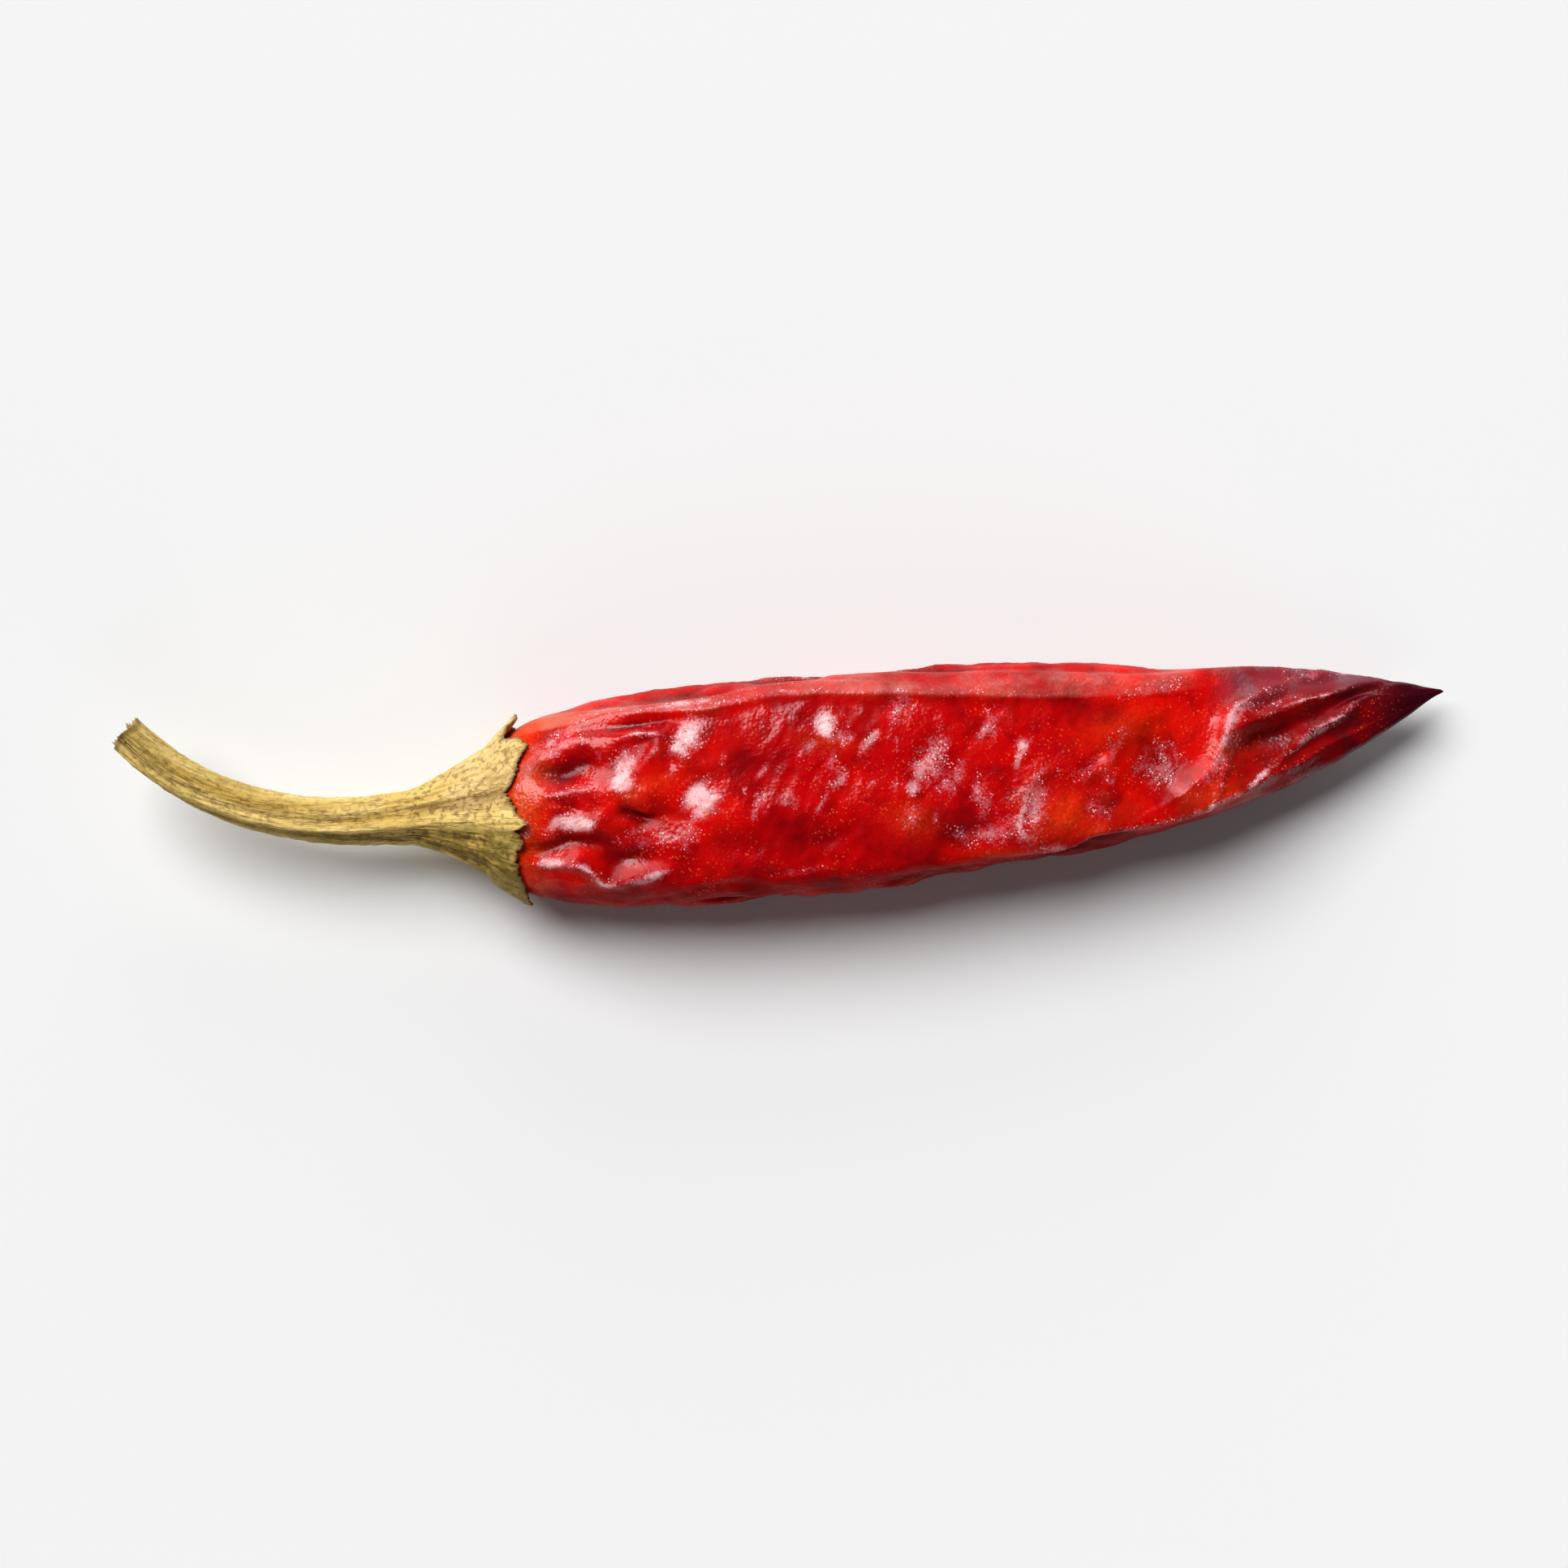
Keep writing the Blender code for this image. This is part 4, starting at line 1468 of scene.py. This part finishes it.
@dataclass
class Calyx:
    """The dry toothed cap that holds the pod to the stem."""

    neck: Neck
    neck_diameter: float = 3.6
    flare: float = 1.18
    wall: float = 0.28
    gap: float = 0.06
    rows: int = 96
    inner_rows: int = 40
    columns: int = 360
    seed: int = 3
    # Angle from +Y over the top, in degrees, and how far along the pod the rim reaches there
    rim: tuple[tuple[float, float], ...] = (
        (0, 1.9), (4, 2.5), (15, 2.7), (20, 1.9), (25, 1.6), (34, 2.9), (41, 3.3), (50, 2.7),
        (61, 2.5), (71, 2.2), (76, 1.5), (81, 2.1), (93, 2.4), (105, 3.3), (111, 2.5), (120, 3.2),
        (128, 2.5), (142, 2.6), (158, 2.9), (176, 3.5), (188, 2.5), (212, 2.2), (236, 3.1),
        (255, 2.2), (280, 2.4), (300, 3.3), (320, 2.3), (345, 2.1),
    )
    # Angle, half-width in degrees, and how far the rim stands off the pod there
    lifts: tuple[tuple[float, float, float], ...] = (
        (12, 14, 0.60), (40, 8, 0.12), (106, 7, 0.35), (121, 5, 0.25), (176, 12, 0.35),
        (236, 12, 0.3), (300, 12, 0.3),
    )

    def rim_reach(self, turn: Array) -> Array:
        """How far along the pod the ragged rim reaches at each angle, in millimetres."""
        draw = np.random.default_rng(self.seed)
        angle = np.degrees(turn) % 360
        reach = np.interp(angle, *np.array(self.rim).T, period=360)
        for count, amount in ((72, 0.05), (180, 0.06), (360, 0.05)):
            jag = draw.normal(0, amount, count)
            reach += np.interp(angle, np.arange(count) * 360 / count, jag, period=360)
        return reach

    def lift(self, turn: Array, share: Array) -> Array:
        """How far the skirt stands off the pod, in millimetres, at shares of the way down."""
        angle = np.degrees(turn)
        total = np.zeros_like(turn)
        for centre, half, amount in self.lifts:
            apart = np.abs((angle - centre + 180) % 360 - 180)
            total += amount * np.exp(-((apart / half) ** 2)) * share**9
        return total

    def outside(self, turn: Array, shares: Array) -> Array:
        """Points of the cap's outside, from the neck to the rim.

        Args:
            turn: the angle of each column.
            shares: how far down each row is.

        Returns:
            Rows, columns and three coordinates.
        """
        tree, points, faces = welded_tree("pod")
        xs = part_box("pod")[0].x + self.rim_reach(turn) * MM
        rim = np.empty((len(turn), 3))
        middles = slice_middles(points, faces, xs)
        for column, (x, middle, angle) in enumerate(zip(xs, middles, turn)):
            way = np.array([math.cos(angle), math.sin(angle)])
            rim[column] = (x, *(middle + cast(tree, x, middle, angle) * way))
        inward = self.neck.inward
        top = self.neck.middle + self.neck_diameter / 2 * MM * self.neck.ring(turn)
        run = rim - top
        forward = (run @ inward)[:, None] * inward
        down = shares[:, None, None]
        grid = top + forward * down + (run - forward) * down**self.flare
        lift = (self.wall + self.gap) * MM
        for row in np.flatnonzero(shares >= CLEAR_OF_NECK):
            for column, place in enumerate(grid[row]):
                near, normal, _, _ = tree.find_nearest(Vector(place))
                if (Vector(place) - near).dot(normal) < lift:
                    grid[row, column] = near + normal * lift
        return grid

    def build(self, material: bpy.types.Material) -> None:
        """Builds the cap, dresses it and hands it over.

        Args:
            material: its finish.
        """
        turn = turns(self.columns)
        shares = np.linspace(0, 1, self.rows) ** 0.9
        outer = self.outside(turn, shares)
        first = outer[0].copy()
        outer = smoothed(outer, 1.2, 0)
        held = np.exp(-np.arange(self.rows) / 1.5)[:, None, None]
        outer += held * (first - outer[0])
        normals = grid_normals(outer)
        normals[0] = self.neck.ring(turn)
        turned = np.repeat(turn[None], self.rows, axis=0)
        down = np.repeat(shares[:, None], self.columns, axis=1)
        outer = outer + normals * self.lift(turned, down)[..., None] * MM
        back = np.linspace(self.rows - 1, int(self.rows * 0.30), self.inner_rows).astype(int)
        wall = self.wall * (0.75 + 0.25 * (1 - shares[back]))[:, None, None] * MM
        inner = outer[back] - normals[back] * wall
        middle_row = outer[-1:] - normals[-1:] * wall[:1] / 2 + self.neck.inward * 0.06 * MM
        rows = np.concatenate([np.arange(self.rows), [self.rows - 1], back])
        apart = outer - self.neck.middle
        reach = np.linalg.norm(np.cross(apart, self.neck.inward), axis=-1) / MM
        run = -(apart @ self.neck.inward) / MM
        raised = rib_height(turned, run, np.maximum(reach, 0.5), 0.0) - RIB_SINK
        raised *= 1 - 0.35 * down**3
        # Olive colour with painted shade on the underside, and painted light on the sunny side
        angle = np.cos(turned - OLIVE_SHADED_SIDE)
        shady = 0.3 * eased(angle, -0.75, -0.45) + 0.7 * eased(angle, -0.34, -0.08)
        bright = eased(np.cos(turned - SUNNY_SIDE), 0.55, 0.95) * eased(down, 0.1, 0.6)
        layers = {
            "out": normals,
            "raised": raised,
            "grain": grain_of(turned, run, 0.0),
            "olive_and_shade": shady - bright,
            "edge": 0.75 * eased(down, 0.955, 1.0),
        }
        layers = {name: values[rows] for name, values in layers.items()}
        grid = np.concatenate([outer, middle_row, inner])
        piece = tube_mesh("calyx_cap", grid, layers, (self.neck.middle, inner[-1].mean(0)))
        sharpen_ring(piece, 0, self.columns)
        apply_tree(piece, fibre_tree("calyx_fibres"), {"Seed": self.seed, "Material": material})
        hand_over(piece, "calyx")


# ---------------------------------------------------------------- studio


@dataclass(frozen=True)
class Lamp:
    """A light aimed at the chilli."""

    name: str
    place: tuple[float, float, float]
    energy: float

    def hang(self, data: bpy.types.Light) -> bpy.types.Object:
        """Puts the light in its place."""
        data.energy = self.energy
        lamp = placed(self.name, data)
        lamp.location = self.place
        lamp.rotation_euler = (-Vector(self.place)).to_track_quat("-Z", "Y").to_euler()
        return lamp


@dataclass(frozen=True)
class Daylight(Lamp):
    """Soft light from a broad window far away, which lights the whole floor alike."""

    spread: float = math.radians(40)

    def add(self) -> None:
        """Adds the light."""
        data = bpy.data.lights.new(self.name, "SUN")
        data.angle = self.spread
        self.hang(data)


@dataclass(frozen=True)
class SoftLight(Lamp):
    """A square soft light."""

    size: float = 0.4
    glossy: bool = True

    def add(self) -> None:
        """Adds the light."""
        data = bpy.data.lights.new(self.name, "AREA")
        data.shape = "SQUARE"
        data.size = self.size
        self.hang(data).visible_glossy = self.glossy


@dataclass
class Studio:
    """The pale floor, the soft lights and the camera."""

    frame_width: float = 0.110
    lens: float = 100.0
    elevation: float = 88.0
    floor_size: float = 3.0
    floor_drop: float = 0.00005
    lights: tuple[Daylight | SoftLight, ...] = (
        Daylight("daylight", (-0.36, 0.48, 0.80), 2.9),
        SoftLight("low", (0.00, 0.55, 0.12), 0.9, 0.40),
        SoftLight("fill", (0.10, -0.40, 0.30), 0.25, 0.35, glossy=False),
    )

    def build(self) -> None:
        """Sets up the scene round the chilli."""
        self.add_floor()
        for light in self.lights:
            light.add()
        self.add_camera()
        world = bpy.data.worlds.new("studio")
        world.use_nodes = True
        bpy.context.scene.world = world
        tree = Tree(world.node_tree)
        seen = tree.out("ShaderNodeLightPath", output="Is Camera Ray")
        colour = tree.blend(seen, (0.04, 0.04, 0.043), (0.82, 0.82, 0.83))
        tree.fill(world.node_tree.nodes["Background"], {"Color": colour})
        bpy.context.scene.view_settings.view_transform = "Standard"
        bpy.context.scene.view_settings.look = "Medium High Contrast"

    def add_floor(self) -> None:
        """Adds the plain pale floor."""
        half = self.floor_size / 2
        ends = ((-half, -half), (half, -half), (half, half), (-half, half))
        mesh = bpy.data.meshes.new("floor")
        mesh.from_pydata([(x, y, -self.floor_drop) for x, y in ends], [], [(0, 1, 2, 3)])
        material, tree, shader = new_material("pale_floor")
        tree.fill(shader, {"Base Color": (0.86, 0.86, 0.86, 1), "Roughness": 0.8})
        mesh.materials.append(material)
        placed("floor", mesh)

    def add_camera(self) -> None:
        """Adds the camera, almost straight above, with the stem on the left."""
        data = bpy.data.cameras.new("camera")
        data.lens = self.lens
        data.clip_start = 0.01
        distance = self.frame_width * self.lens / data.sensor_width
        low, high = CAD_BOX
        tilt = math.radians(self.elevation)
        camera = placed("camera", data)
        camera.location = (low + high) / 2 + distance * Vector((0, -math.cos(tilt), math.sin(tilt)))
        camera.rotation_euler = (math.pi / 2 - tilt, 0, 0)
        bpy.context.scene.camera = camera


def main() -> None:
    """Builds the chilli and its studio."""
    logging.basicConfig(level=logging.INFO, format="%(name)s: %(message)s")
    Pod().build()
    neck = Neck.find()
    shares = {"olive_share": 0.9, "mottle_share": 0.85, "crack_share": 0.3}
    husk = FibreFinish("dried_calyx_husk", brown=(0.20, 0.10, 0.02), **shares)
    Calyx(neck).build(husk.make())
    bark = FibreFinish("dried_stem_bark").make()
    stem = Stem(neck)
    stem.build(bark)
    Fray(stem).build(bark)
    Studio().build()


if __name__ == "__main__":
    main()
